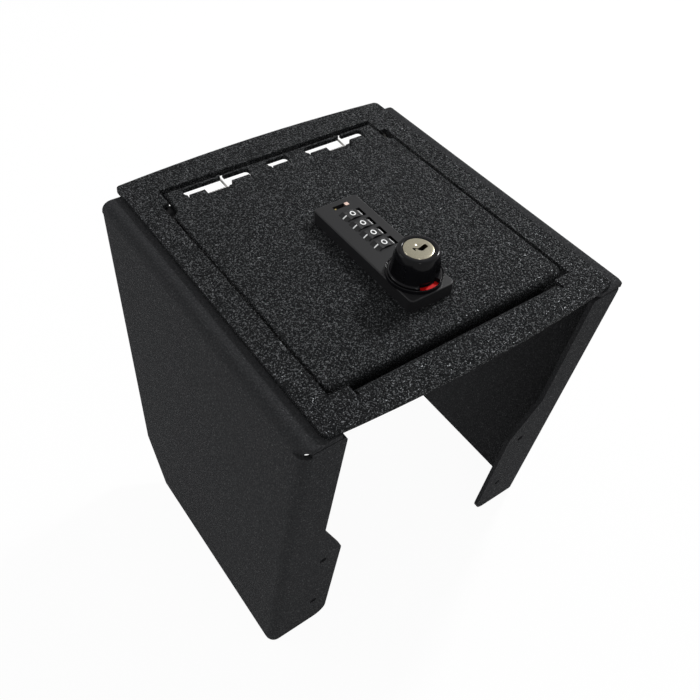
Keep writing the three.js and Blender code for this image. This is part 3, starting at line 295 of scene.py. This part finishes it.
def wrinkle_coat(name, scale, depth, grain_depth, gloss, specular, dark, light, glint, share):
    """Black coat with a coarse wrinkle whose valleys are painted darker, matt but for small glossy
    facets.
    """
    material, tree, node = shader(name, light, 0.6, specular=specular)
    place = tree.nodes.new("ShaderNodeTexCoord")
    warp = noise(tree, WARP_SCALE, 3, 0.6)
    push = tree.nodes.new("ShaderNodeVectorMath")
    push.operation = "SCALE"
    push.inputs["Scale"].default_value = WARP_REACH
    link(tree, warp.outputs["Color"], push.inputs[0])
    moved = tree.nodes.new("ShaderNodeVectorMath")
    moved.operation = "ADD"
    link(tree, place.outputs["Object"], moved.inputs[0])
    link(tree, push.outputs[0], moved.inputs[1])
    cells = tree.nodes.new("ShaderNodeTexVoronoi")
    cells.feature = "SMOOTH_F1"
    cells.inputs["Scale"].default_value = scale
    cells.inputs["Smoothness"].default_value = CELL_SMOOTHNESS
    link(tree, moved.outputs[0], cells.inputs["Vector"])
    height = ramp(tree, cells.outputs["Distance"], *CELL_RANGE, 1.0, 0.0)
    coarse = bump(tree, height, node, depth)
    grain = noise(tree, GRAIN_SCALE, 3, 0.65)
    bump(tree, grain.outputs["Fac"], node, grain_depth, under=coarse)
    facets = noise(tree, FACET_SCALE, 2, 0.6).outputs["Fac"]
    tips = ramp(tree, facets, *share, 0, 1)
    link(tree, ramp(tree, facets, *share, MATT, gloss), node.inputs["Roughness"])
    link(tree, tips, node.inputs["Metallic"])
    # Painted shading: the valleys between the cells are coloured darker and the crests lighter.
    painted_relief_shading = tint(tree, height, dark, light)
    link(tree, tint(tree, tips, dark, glint, under=painted_relief_shading), node.inputs["Base Color"])
    return material


finishes = {
    "powder_coat": wrinkle_coat(
        "powder_coat",
        scale=640,
        depth=0.55 * mm,
        grain_depth=0.3 * mm,
        gloss=0.2,
        specular=0.06,
        dark=(0.004, 0.0045, 0.005),
        light=(0.012, 0.0125, 0.013),
        glint=(0.095, 0.099, 0.103),
        share=(0.545, 0.66),
    ),
    # The upright side panels get a copy of the coat whose base colour is painted lighter, as
    # painted light in place of the light that its gloss would mirror, with almost no gloss.
    "side_coat_painted_light": wrinkle_coat(
        "side_coat_painted_light",
        scale=1000,
        depth=0.2 * mm,
        grain_depth=0.12 * mm,
        gloss=0.5,
        specular=0.01,
        dark=(0.022, 0.0225, 0.024),
        light=(0.034, 0.0345, 0.036),
        glint=(0.045, 0.046, 0.048),
        share=(0.5, 0.75),
    ),
}
print("coats:", list(finishes))

# %% [markdown]
# ## Metals and plastics
# The small parts are smooth: bare steel, brass, nickel, satin and glossy plastic. Even a smooth
# surface has a faint unevenness, so one noise varies the colour, the gloss and the height a
# little. The list gives each finish its colour, roughness, metal share, grain in cycles per metre
# and depth of grain.
# %% Write the smooth finishes


def plain_finish(name, color, roughness, metallic, grain, depth, specular=0.5):
    """A smooth finish with a faint grain in colour, gloss and height."""
    material, tree, node = shader(name, color, roughness, metallic, specular)
    spots = noise(tree, grain, 3, 0.55).outputs["Fac"]
    dark = tuple(0.86 * c for c in color)
    light = tuple(min(1.0, 1.1 * c) for c in color)
    link(tree, tint(tree, spots, dark, light), node.inputs["Base Color"])
    gloss = ramp(tree, spots, 0.25, 0.75, 0.85 * roughness, 1.15 * roughness)
    link(tree, gloss, node.inputs["Roughness"])
    bump(tree, spots, node, depth, strength=0.5)
    return material


smooth_finishes = {
    "weld_bead": ((0.02, 0.02, 0.022), 0.6, 0.3, 900, 0.2 * mm),
    "zinc_steel": ((0.36, 0.37, 0.38), 0.38, 1.0, 700, 0.02 * mm),
    # Dark steel for the hinge pin, much darker than the zinc of the other hardware.
    "oiled_steel": ((0.07, 0.07, 0.072), 0.25, 1.0, 700, 0.01 * mm),
    "spring_steel": ((0.4, 0.39, 0.37), 0.3, 1.0, 900, 0.01 * mm),
    "lock_black": ((0.012, 0.012, 0.013), 0.4, 0.0, 2500, 0.02 * mm, 0.16),
    "knob_black": ((0.005, 0.005, 0.006), 0.12, 0.0, 300, 0.006 * mm, 0.1),
    "dial_black": ((0.008, 0.008, 0.009), 0.35, 0.0, 2500, 0.01 * mm, 0.3),
    "nickel_plug": ((0.27, 0.25, 0.19), 0.24, 1.0, 1500, 0.03 * mm),
    "brass_parts": ((0.4, 0.31, 0.13), 0.3, 1.0, 900, 0.01 * mm),
    "copper_slider": ((0.74, 0.55, 0.48), 0.3, 1.0, 900, 0.01 * mm),
    "state_red": ((0.62, 0.006, 0.006), 0.4, 0.0, 1200, 0.01 * mm, 0.15),
    "digit_white": ((0.82, 0.83, 0.83), 0.45, 0.0, 3000, 0.005 * mm),
}
for name, settings in smooth_finishes.items():
    finishes[name] = plain_finish(name, *settings)
slot_of = {m["node"]: m["material_slot"] for m in frame["record"]["subparts"]}
for name, node in frame["nodes"].items():
    node.data.materials.clear()
    node.data.materials.append(finishes[slot_of[name]])
print(len(finishes), "finishes on", len(frame["nodes"]), "nodes")

# %% [markdown]
# ## Working by selection
# Operators act on what is selected, as they do by hand. These helpers clear the selection, enter
# edit mode, and pick vertices, edges or faces by a test on their place or direction.
# %% Selection helpers
HAIR = 0.001 * mm  # points closer than this are one point


def activate(obj):
    """Selects one object alone."""
    if bpy.context.object and bpy.context.object.mode != "OBJECT":
        bpy.ops.object.mode_set(mode="OBJECT")
    bpy.ops.object.select_all(action="DESELECT")
    obj.select_set(True)
    bpy.context.view_layer.objects.active = obj


def edit(obj):
    """Opens an object in edit mode with nothing selected."""
    activate(obj)
    bpy.ops.object.mode_set(mode="EDIT")
    bpy.ops.mesh.select_all(action="DESELECT")


def pick(obj, kind, test):
    """Selects the vertices, edges or faces that pass the test."""
    bpy.ops.mesh.select_mode(type=kind)
    bpy.ops.mesh.select_all(action="DESELECT")
    bpy.ops.object.mode_set(mode="OBJECT")
    mesh = obj.data
    items = {"VERT": mesh.vertices, "EDGE": mesh.edges, "FACE": mesh.polygons}[kind]
    for item in items:
        item.select = bool(test(item))
    bpy.ops.object.mode_set(mode="EDIT")


def outward(obj):
    """Merges doubles and turns the faces outwards."""
    edit(obj)
    bpy.ops.mesh.select_all(action="SELECT")
    bpy.ops.mesh.remove_doubles(threshold=HAIR)
    bpy.ops.mesh.normals_make_consistent(inside=False)
    bpy.ops.object.mode_set(mode="OBJECT")


# %% [markdown]
# ## Modifiers, cutting and shading
# A modifier is added and applied at once, so every piece ends as a plain mesh. Cutting takes one
# shape out of another. A large flat face next to a bevel would shade like a pillow, so weighted
# normals let the big faces decide.
# %% Modifier helpers


def modify(obj, kind, **settings):
    """Adds a modifier and applies it."""
    activate(obj)
    modifier = obj.modifiers.new(kind.lower(), kind)
    for key, value in settings.items():
        setattr(modifier, key, value)
    bpy.ops.object.modifier_apply(modifier=modifier.name)


def cut(obj, cutter):
    """Takes the cutter's shape out of a piece and removes the cutter."""
    modify(obj, "BOOLEAN", operation="DIFFERENCE", object=cutter, solver="EXACT")
    bpy.data.objects.remove(cutter)


def box(low, high):
    """A plain box between two corners, in mm, for cutting."""
    middle = [(a + b) / 2 * mm for a, b in zip(low, high)]
    bpy.ops.mesh.primitive_cube_add(size=1, location=middle)
    obj = bpy.context.object
    obj.scale = [(b - a) * mm for a, b in zip(low, high)]
    bpy.ops.object.transform_apply(location=True, scale=True)
    return obj


def smooth(obj, degrees=35):
    """Shades smooth across edges flatter than an angle."""
    activate(obj)
    bpy.ops.object.shade_smooth_by_angle(angle=math.radians(degrees))


def soften(obj, edge, corner=35, **more):
    """Bevels the edges sharper than an angle."""
    modify(
        obj,
        "BEVEL",
        width=edge,
        segments=2,
        limit_method="ANGLE",
        angle_limit=math.radians(corner),
        use_clamp_overlap=True,
        **more,
    )


def even_shading(obj):
    """Smooth shading in which the large faces stay flat."""
    smooth(obj)
    modify(obj, "WEIGHTED_NORMAL", keep_sharp=True, weight=80)


# %% [markdown]
# ## Handing a piece over
# A finished piece gets its name and finish and joins the body that it moves with. Where it stands
# for parts of the frame, these are hidden.
# %% Settle a piece


def settle(obj, name, body, finish, nodes=()):
    """Names a finished piece, gives it its finish and joins it to its body."""
    activate(obj)
    bpy.ops.object.transform_apply(location=True, rotation=True, scale=True)
    obj.name = name
    obj.data.name = name
    obj.data.materials.clear()
    obj.data.materials.append(finishes[finish])
    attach(obj, body)
    if nodes:
        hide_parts(*nodes)
    triangles = sum(len(p.vertices) - 2 for p in obj.data.polygons)
    print(f"{name}: {triangles} triangles on {body}")


# %% [markdown]
# ## Soft edges on the sheets
# Powder coat rounds every cut edge of a sheet, and that thin bright line tells the eye that the
# part is coated steel. The frame's sheets have sharp edges. A copy of each is cleaned up, its flat
# faces are joined, and a small bevel runs along every sharp edge.
# %% Fine copies of the folded parts
COPY_HAIR = 0.002 * mm  # the frame's loose triangles meet within this


def fine_copy(node, name, finish, edge, corner=30, flat=0.6, cutters=()):
    """A copy of a frame part with bevelled edges, in its place."""
    cad = frame["nodes"][node]
    obj = bpy.data.objects.new(name, cad.data.copy())
    bpy.context.scene.collection.objects.link(obj)
    edit(obj)
    bpy.ops.mesh.select_all(action="SELECT")
    bpy.ops.mesh.remove_doubles(threshold=COPY_HAIR)
    if flat:
        bpy.ops.mesh.dissolve_limited(angle_limit=math.radians(flat))
    bpy.ops.object.mode_set(mode="OBJECT")
    for cutter in cutters:
        cut(obj, box(*cutter))
    soften(obj, edge, corner, miter_outer="MITER_ARC")
    modify(obj, "TRIANGULATE", min_vertices=5)
    even_shading(obj)
    settle(obj, name, cad["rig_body"], finish, [node])


# Lets the light through the hinge windows.
APRON_GAPS = [((-72, 93.9, 220), (80, 97.2, 233.6))]
sheets = {
    "bezel": 0.35,
    "left_side_panel": 0.5,
    "right_side_panel": 0.5,
    "lid_panel": 0.25,
    "left_hinge_bracket": 0.4,
    "right_hinge_bracket": 0.4,
}
for node, edge in sheets.items():
    gaps = APRON_GAPS if node == "bezel" else ()
    # The side panels take the copy of the coat with the painted lighter base colour.
    coat = "side_coat_painted_light" if "side" in node else "powder_coat"
    fine_copy(node, node + "_coated", coat, edge * mm, cutters=gaps)
print(len(sheets), "sheets with soft edges")

# %% [markdown]
# ## The lock's plate and the small metal
# The lock plate is a satin casting with a fine rim. Its faces aren't joined first, because a face
# that runs round the dial windows could close them. The pin, its clips, the screws, the cam and
# the tray below the lid get a bevel at their own scale, which catches light on turned and stamped
# metal.
# %% Fine copies of the lock plate and the hardware
fine_copy("lock_housing", "lock_plate", "lock_black", 0.12 * mm, flat=None)
hardware = {
    "lock_body": ("lock_tray", "lock_black", 0.4),
    "hinge_pin": ("hinge_rod", "oiled_steel", 0.3),
    "left_pin_clip": ("left_clip_ring", "spring_steel", 0.15),
    "right_pin_clip": ("right_clip_ring", "spring_steel", 0.15),
    "rear_lock_screw": ("rear_screw", "zinc_steel", 0.25),
    "middle_lock_screw": ("middle_screw", "zinc_steel", 0.25),
    "latch_cam": ("cam_plate", "zinc_steel", 0.3),
    "cam_washer": ("cam_ring", "zinc_steel", 0.15),
    "cam_bolt": ("cam_screw", "zinc_steel", 0.25),
    "code_slider": ("code_tongue", "copper_slider", 0.2),
}
for node, (name, finish, edge) in hardware.items():
    fine_copy(node, name, finish, edge * mm, corner=40)
print(len(hardware), "pieces of hardware")

# %% [markdown]
# ## Round parts
# A knob is turned on a lathe: one outline goes round an axis. By hand that is a ring of edges,
# drawn out and scaled again and again. The helper does just that with a list of radius and height,
# and joins the last ring to the first when the part is hollow.
# %% Turn a round part
KNOB_PLACE = (0, -52 * mm)
LOCK_FOOT = 238 * mm  # the lid's top face
LATHE_SIDES = 128


def turned(name, outline, hollow=False):
    """A body of revolution about the knob's axis; outline lists radius and height in mm."""
    x, y = KNOB_PLACE
    radius, height = outline[0]
    place = (x, y, LOCK_FOOT + height * mm)
    bpy.ops.mesh.primitive_circle_add(
        vertices=LATHE_SIDES, radius=radius * mm, location=place
    )
    obj = bpy.context.object
    obj.name = name
    bpy.ops.object.transform_apply(location=True)
    edit(obj)
    bpy.ops.mesh.select_all(action="SELECT")
    for next_radius, next_height in outline[1:]:
        rise = (0, 0, (next_height - height) * mm)
        bpy.ops.mesh.extrude_region_move(TRANSFORM_OT_translate={"value": rise})
        middle = (x, y, LOCK_FOOT + next_height * mm)
        growth = next_radius / radius
        bpy.ops.transform.resize(value=(growth, growth, 1), center_override=middle)
        radius, height = next_radius, next_height
    if hollow:
        bpy.ops.mesh.select_all(action="DESELECT")
        bpy.ops.mesh.select_mode(type="EDGE")
        bpy.ops.mesh.select_non_manifold()
        bpy.ops.mesh.bridge_edge_loops()
    else:
        bpy.ops.mesh.edge_face_add()
        foot = LOCK_FOOT + outline[0][1] * mm
        pick(obj, "VERT", lambda v: abs(v.co.z - foot) < HAIR)
        bpy.ops.mesh.edge_face_add()
    outward(obj)
    return obj


print("the knob's axis is at", [round(v / mm) for v in KNOB_PLACE], "mm")

# %% [markdown]
# ## A cutter that follows a circle
# The hood in the knob and the window in its ring are stretches of a ring. The cutter for them
# starts as a small upright plane, which is spun through part of a turn. With no window open, spin
# turns the other way about, so its angle is negative here.
# %% Spin a cutter
ARC_STEPS = 24


def arc_block(inner, outer, low, high, start, end):
    """A block between two radii and two heights, in mm, and two angles about the knob's axis."""
    x, y = KNOB_PLACE
    middle = (x + (inner + outer) / 2 * mm, y, LOCK_FOOT + (low + high) / 2 * mm)
    bpy.ops.mesh.primitive_plane_add(size=1, location=middle, rotation=(math.pi / 2, 0, 0))
    obj = bpy.context.object
    obj.scale = ((outer - inner) * mm, (high - low) * mm, 1)
    bpy.ops.object.transform_apply(location=True, rotation=True, scale=True)
    edit(obj)
    bpy.ops.mesh.select_all(action="SELECT")
    centre = (x, y, LOCK_FOOT)
    sweep = math.radians(end - start)
    bpy.ops.mesh.spin(steps=ARC_STEPS, angle=-sweep, center=centre, axis=(0, 0, 1))
    bpy.ops.object.mode_set(mode="OBJECT")
    turn = Matrix.Translation(centre) @ Matrix.Rotation(math.radians(start), 4, "Z")
    obj.data.transform(turn @ Matrix.Translation(-Vector(centre)))
    outward(obj)
    return obj


print("a spun cutter has", ARC_STEPS, "steps")

# %% [markdown]
# ## The knob
# The knob starts as a turned body: a thin round flange at the foot, sides that narrow towards the
# top and a recess for the key's face. Three hollows for the fingers are cut from its sides, and a
# hood is cut in its foot, so that the state window can be read from above.
# %% Turn and cut the knob
knob_outline = [
    (5.1, 10.1),
    (14.6, 10.1),
    (14.9, 10.35),
    (14.9, 10.8),
    (14.6, 11.15),
    (14.15, 11.4),
    (13.9, 12.2),
    (13.7, 14),
    (13.35, 17.5),
    (12.95, 21),
    (12.45, 23.4),
    (11.95, 25.2),
    (11.75, 25.8),
    (11.4, 26.25),
    (10.9, 26.48),
    (10.2, 26.5),
    (9.2, 26.46),
    (8.8, 26.3),
    (8.6, 25.9),
    (8.6, 24.8),
    (8.0, 24.8),
    (8.0, 13.1),
    (5.1, 13.1),
]
HOLLOW_ANGLES = (-178, -58, 62)
HOLLOW_RADIUS, HOLLOW_LENGTH = 7.3 * mm, 10.6 * mm
HOLLOW_DISTANCE = 17.6 * mm  # from the knob's axis to the hollow's own
HOLLOW_HEIGHT = 16.8 * mm  # of the hollow's middle over the lid
grip = turned("knob_grip", knob_outline, hollow=True)
for angle in HOLLOW_ANGLES:
    direction = Vector((math.cos(math.radians(angle)), math.sin(math.radians(angle)), 0))
    place = Vector((*KNOB_PLACE, LOCK_FOOT + HOLLOW_HEIGHT)) + HOLLOW_DISTANCE * direction
    bpy.ops.mesh.primitive_cylinder_add(
        vertices=96, radius=HOLLOW_RADIUS, depth=HOLLOW_LENGTH, location=place
    )
    hollow_cutter = bpy.context.object
    bpy.ops.object.transform_apply(location=True)
    cut(grip, hollow_cutter)
hood = arc_block(inner=11.8, outer=17, low=9, high=13.6, start=-120, end=-63)
cut(grip, hood)
soften(grip, 0.22 * mm)
even_shading(grip)
settle(grip, "knob_grip", "knob_drive", "knob_black", ["knob"])

# %% [markdown]
# ## The ring under the knob
# A thin ring stands round the knob's foot and carries the state window in its floor. Its rim is a
# fraction of a millimetre wide and rounded, so it draws a fine bright line round the knob.
# %% Turn the ring and cut its window
ring_outline = [
    (5.3, 9.2),
    (15.6, 9.2),
    (15.6, 8),
    (16.3, 8),
    (16.3, 9.9),
    (16.2, 10.25),
    (15.95, 10.4),
    (15.7, 10.25),
    (15.6, 9.8),
    (5.3, 9.8),
]
ring = turned("knob_ring", ring_outline, hollow=True)
window = arc_block(inner=12.4, outer=15.1, low=7, high=12, start=-117, end=-66)
cut(ring, window)
soften(ring, 0.08 * mm)
even_shading(ring)
settle(ring, "knob_ring", "lid", "knob_black", ["knob_base_ring"])

# %% [markdown]
# ## The key's face
# The plug's face is a slightly domed nickel disc. It is turned like the knob, but its last ring is
# closed by a face, because nothing passes through it.
# %% Turn the plug
plug_outline = [
    (5.6, 13.4),
    (5.6, 25.1),
    (8.45, 25.1),
    (8.5, 25.3),
    (8.5, 26.15),
    (8.3, 26.4),
    (7.9, 26.5),
    (6.5, 26.56),
    (4, 26.62),
    (1.5, 26.65),
]
plug = turned("plug_face", plug_outline)
print("the plug is", 2 * plug_outline[4][0], "mm across")

# %% [markdown]
# ## The keyway
# A keyway is not a plain slot: wards on both sides give it a hooked shape. A grid gets that shape
# by moving each of its columns to a place, a low edge and a high edge, and is then drawn down into
# a cutter. The grid waits well to the side, so that a column that has been moved is never picked
# again. A shallow dish beside the keyway guides the key's tip and catches the light.
# %% Cut the keyway and the dish
KEYWAY = [  # place, low edge and high edge of each column, in mm
    (-3.25, 0.5, 1.45),
    (-2.95, -0.85, 1.75),
    (-2.4, -0.65, 1.6),
    (-2.1, 0.55, 1.4),
    (-1.3, -0.1, 0.75),
    (-0.9, -1.4, 0.25),
    (0, -2.5, 0.05),
    (1.1, -2.75, 0.2),
    (2.8, -2.2, 0.75),
    (4.0, -2.0, 1.05),
    (4.8, -1.8, 1.1),
    (5.4, -1.2, 0.7),
]
GRID_PLACE = 40  # mm
CUTTER_TOP, CUTTER_DEPTH = 28 * mm, 10 * mm
DISH_PLACE = (1.1 * mm, 2.1 * mm, 29.3 * mm)  # from the knob's axis and the lid
DISH_RADIUS = 3 * mm
columns = len(KEYWAY)
bpy.ops.mesh.primitive_grid_add(
    x_subdivisions=columns - 1, y_subdivisions=1, size=1, location=(0, 0, 0)
)
ward = bpy.context.object
ward.scale = ((columns - 1) * mm, mm, 1)
bpy.ops.object.transform_apply(scale=True)
ward.data.transform(Matrix.Translation((GRID_PLACE * mm, 0, 0)))
edit(ward)
for i, (column, lower, upper) in enumerate(KEYWAY):
    before = (GRID_PLACE + i - (columns - 1) / 2) * mm
    pick(ward, "VERT", lambda v: abs(v.co.x - before) < 0.2 * mm)
    bpy.ops.transform.resize(value=(1, upper - lower, 1), center_override=(0, 0, 0))
    move = (column * mm - before, (upper + lower) / 2 * mm, 0)
    bpy.ops.transform.translate(value=move)
bpy.ops.mesh.select_all(action="SELECT")
bpy.ops.mesh.extrude_region_move(TRANSFORM_OT_translate={"value": (0, 0, -CUTTER_DEPTH)})
bpy.ops.object.mode_set(mode="OBJECT")
outward(ward)
ward.data.transform(Matrix.Translation((*KNOB_PLACE, LOCK_FOOT + CUTTER_TOP)))
cut(plug, ward)
dish_place = Vector(DISH_PLACE) + Vector((*KNOB_PLACE, LOCK_FOOT))
bpy.ops.mesh.primitive_uv_sphere_add(
    segments=48, ring_count=24, radius=DISH_RADIUS, location=dish_place
)
dish = bpy.context.object
bpy.ops.object.transform_apply(location=True)
cut(plug, dish)
soften(plug, 0.06 * mm)
even_shading(plug)
settle(plug, "plug_face", "key", "nickel_plug", ["key_plug"])

# %% [markdown]
# ## Number dials
# Each dial is a wheel with ten faces between grooves, of which about three show in its window. The
# faces follow the wheel's curve, so the digits do too. Text gives their outlines. It is made a
# mesh, brought to size and wrapped round the wheel, one digit on each face, and the tops of the
# digits point to the hinge. The digits are white and filled in.
# %% Write a digit
DIAL_AXIS = (1.9 * mm, 237.7 * mm)  # x and z
DIAL_RADIUS = 9.5 * mm
TEXT_SIZE = 5.4 * mm
DIGIT_SIZE, ONE_SIZE = (3.3 * mm, 4.1 * mm), (1.15 * mm, 4.4 * mm)
STROKE_SWELL = 0.14 * mm
DIGIT_DEPTH = 0.06 * mm
SUNK = 0.01 * mm  # how far the digits sit in the wheel
LETTER_FOR = {0: "O", 1: "I"}  # a round nought and a plain one


def digit(number, place_y, turn):
    """A white digit on a dial's face, turned about the dial's axis."""
    bpy.ops.object.text_add(location=(0, 0, 0))
    obj = bpy.context.object
    obj.data.body = LETTER_FOR.get(number, str(number))
    obj.data.align_x = "CENTER"
    obj.data.align_y = "CENTER"
    obj.data.size = TEXT_SIZE
    obj.data.offset = STROKE_SWELL
    obj.data.extrude = DIGIT_DEPTH
    bpy.ops.object.convert(target="MESH")
    low = Vector(min(v.co[i] for v in obj.data.vertices) for i in range(3))
    high = Vector(max(v.co[i] for v in obj.data.vertices) for i in range(3))
    centre = Matrix.Translation(-(low + high) / 2)
    width, height = ONE_SIZE if number == 1 else DIGIT_SIZE
    wider = Matrix.Diagonal((width / (high.x - low.x), height / (high.y - low.y), 1, 1))
    obj.data.transform(wider @ centre)
    for v in obj.data.vertices:
        radius, angle = DIAL_RADIUS - SUNK + v.co.z, v.co.x / DIAL_RADIUS
        v.co.x, v.co.z = radius * math.sin(angle), radius * math.cos(angle)
    roll = Matrix.Rotation(turn, 4, "Y")
    place = Matrix.Translation((DIAL_AXIS[0], place_y * mm, DIAL_AXIS[1]))
    obj.data.transform(place @ roll)
    return obj


print("a digit is", [round(v / mm, 2) for v in DIGIT_SIZE], "mm")

# %% [markdown]
# ## Four dials
# The four wheels are the same and stand 10 mm apart. Each gets its own ten digits, joined into one
# piece that turns with its wheel.
# %% Dials with their digits
DIAL_PLACES = (7, -3, -13, -23)  # y in mm


def joined(parts):
    """Joins objects into the first one."""
    activate(parts[0])
    for part in parts:
        part.select_set(True)
    bpy.ops.object.join()
    return parts[0]


for i, place_y in enumerate(DIAL_PLACES):
    body = f"dial_{i + 1}"
    fine_copy(f"dial_wheel_{i + 1}", f"{body}_wheel", "dial_black", 0.12 * mm, corner=25)
    digits = joined([digit(n, place_y, math.radians(36 * n)) for n in range(10)])
    smooth(digits)
    settle(digits, f"{body}_digits", body, "digit_white")

# %% [markdown]
# ## Index lines
# A short white line on the shield beside each dial shows which digit counts. The line follows the
# shield's curve, so it is spun about the dial's axis from a small plane.
# %% Spin the index lines
LINE_RADIUS = 10.53 * mm
LINE_START, LINE_END = math.radians(25), math.radians(47)
LINE_DEPTH, LINE_WIDTH = 0.08 * mm, 0.85 * mm
LINE_STEPS = 10


def index_line(place_y):
    """A white line along the curve of a dial's shield."""
    axis_x, axis_z = DIAL_AXIS
    place = (axis_x, place_y * mm, axis_z + LINE_RADIUS)
    bpy.ops.mesh.primitive_plane_add(size=1, location=place)
    obj = bpy.context.object
    obj.rotation_euler = (0, math.pi / 2, 0)
    obj.scale = (LINE_DEPTH, LINE_WIDTH, 1)
    bpy.ops.object.transform_apply(location=True, rotation=True, scale=True)
    edit(obj)
    bpy.ops.mesh.select_all(action="SELECT")
    centre = (axis_x, place_y * mm, axis_z)
    sweep = LINE_END - LINE_START
    bpy.ops.mesh.spin(steps=LINE_STEPS, angle=sweep, center=centre, axis=(0, 1, 0))
    bpy.ops.object.mode_set(mode="OBJECT")
    turn = Matrix.Translation(centre) @ Matrix.Rotation(-LINE_START, 4, "Y")
    obj.data.transform(turn @ Matrix.Translation(-Vector(centre)))
    outward(obj)
    return obj


lines = joined([index_line(place_y) for place_y in DIAL_PLACES])
smooth(lines)
settle(lines, "dial_index_lines", "lid", "digit_white")

# %% [markdown]
# ## The stop in the code slot
# At the left end of the code slot a small brass stop shows its rounded head. It is a thin pin
# whose top edge is bevelled in four steps.
# %% Make the brass stop
STOP_PLACE = (-3.1 * mm, 17.2 * mm, LOCK_FOOT + 3.7 * mm)
STOP_RADIUS, STOP_LENGTH = 0.65 * mm, 7.2 * mm
bpy.ops.mesh.primitive_cylinder_add(
    vertices=32, radius=STOP_RADIUS, depth=STOP_LENGTH, location=STOP_PLACE
)
stop = bpy.context.object
bpy.ops.object.transform_apply(location=True)
edit(stop)
pick(stop, "FACE", lambda f: f.normal.z > 0.9)
bpy.ops.mesh.bevel(offset=0.35 * mm, segments=4)
bpy.ops.object.mode_set(mode="OBJECT")
smooth(stop, 60)
settle(stop, "code_stop", "lid", "brass_parts")

# %% [markdown]
# ## Bushes on the hinge pin
# A black bush on each end of the pin keeps the lid in the middle of its opening. It is a short
# tube: a cylinder with a bore through it and rounded ends.
# %% Make the bushes
PIN_PLACE = (80.5 * mm, 229.5 * mm)  # y and z
BUSH_RADIUS, BUSH_BORE = 4.5 * mm, 2.5 * mm


def bush(name, low, high):
    """A tube on the hinge pin from x low to x high."""
    along_pin = {
        "vertices": 64,
        "location": ((low + high) / 2, *PIN_PLACE),
        "rotation": (0, math.pi / 2, 0),
    }
    bpy.ops.mesh.primitive_cylinder_add(radius=BUSH_RADIUS, depth=high - low, **along_pin)
    obj = bpy.context.object
    longer = high - low + 2 * mm
    bpy.ops.mesh.primitive_cylinder_add(radius=BUSH_BORE, depth=longer, **along_pin)
    cut(obj, bpy.context.object)
    soften(obj, 0.4 * mm)
    even_shading(obj)
    settle(obj, name, "frame", "lock_black")


bush("left_pin_bush", -82.9 * mm, -66 * mm)
bush("right_pin_bush", 66 * mm, 82.9 * mm)

# %% [markdown]
# ## A leg of wire
# Each lid spring is one wire: a leg that lies under the lid, six turns round the pin and a leg
# that ends under the bezel. A leg is drawn out of the coil's end ring step by step. Its rise
# starts and ends level, so that the wire leaves the coil and meets the sheet without a kink.
# %% Draw out a leg
COIL_RADIUS = 3.77 * mm
WIRE = 1.4 * mm
LEG_TOP = 234 * mm
LEG_STEPS = 6


def leg(obj, x, length):
    """Draws the ring of wire at x out along the depth, rising to the sheet above."""
    top = PIN_PLACE[1] + COIL_RADIUS

    def in_end_ring(v):
        at_start = abs(v.co.y - PIN_PLACE[0]) < HAIR and abs(v.co.x - x) < WIRE * 0.6
        return at_start and v.co.z > top - WIRE

    pick(obj, "VERT", in_end_ring)
    before = 0.0
    for i in range(1, LEG_STEPS + 1):
        way = i / LEG_STEPS
        rise = (LEG_TOP - top) * way * way * (3 - 2 * way)
        move = (0, length / LEG_STEPS, rise - before)
        bpy.ops.mesh.extrude_region_move(TRANSFORM_OT_translate={"value": move})
        before = rise
    bpy.ops.mesh.edge_face_add()


print("the wire is", WIRE / mm, "mm thick")

# %% [markdown]
# ## Lid springs
# The screw modifier winds the wire's round section about the pin. It joins the rings as it goes,
# which a row of separate rings would not do, and leaves the two end rings open for the legs.
# %% Wind the springs
PITCH = 1.9 * mm
TURNS = 6
TURN_STEPS = 28
FRONT_LEG, BACK_LEG = -24 * mm, 17 * mm


def lid_spring(name, start, node):
    """One lid spring with its coil starting at start."""
    place = (start, *PIN_PLACE)
    upright = (math.pi / 2, 0, 0)
    bpy.ops.mesh.primitive_circle_add(
        vertices=16, radius=WIRE / 2, location=place, rotation=upright
    )
    obj = bpy.context.object
    bpy.ops.object.transform_apply(location=False, rotation=True)
    edit(obj)
    bpy.ops.mesh.select_all(action="SELECT")
    bpy.ops.transform.translate(value=(0, 0, COIL_RADIUS))
    bpy.ops.object.mode_set(mode="OBJECT")
    modify(
        obj,
        "SCREW",
        axis="X",
        angle=-2 * math.pi,
        screw_offset=PITCH,
        iterations=TURNS,
        steps=TURN_STEPS,
        render_steps=TURN_STEPS,
        use_merge_vertices=False,
    )
    activate(obj)
    bpy.ops.object.transform_apply(location=True)
    xs = [v.co.x / mm for v in obj.data.vertices]
    print(name, "coil from", round(min(xs), 2), "to", round(max(xs), 2), "mm")
    edit(obj)
    leg(obj, start, FRONT_LEG)
    leg(obj, start + TURNS * PITCH, BACK_LEG)
    outward(obj)
    smooth(obj, 50)
    settle(obj, name, "frame", "spring_steel", [node])


lid_spring("left_spring_wire", -50.4 * mm, "left_lid_spring")
lid_spring("right_spring_wire", 40.4 * mm, "right_lid_spring")
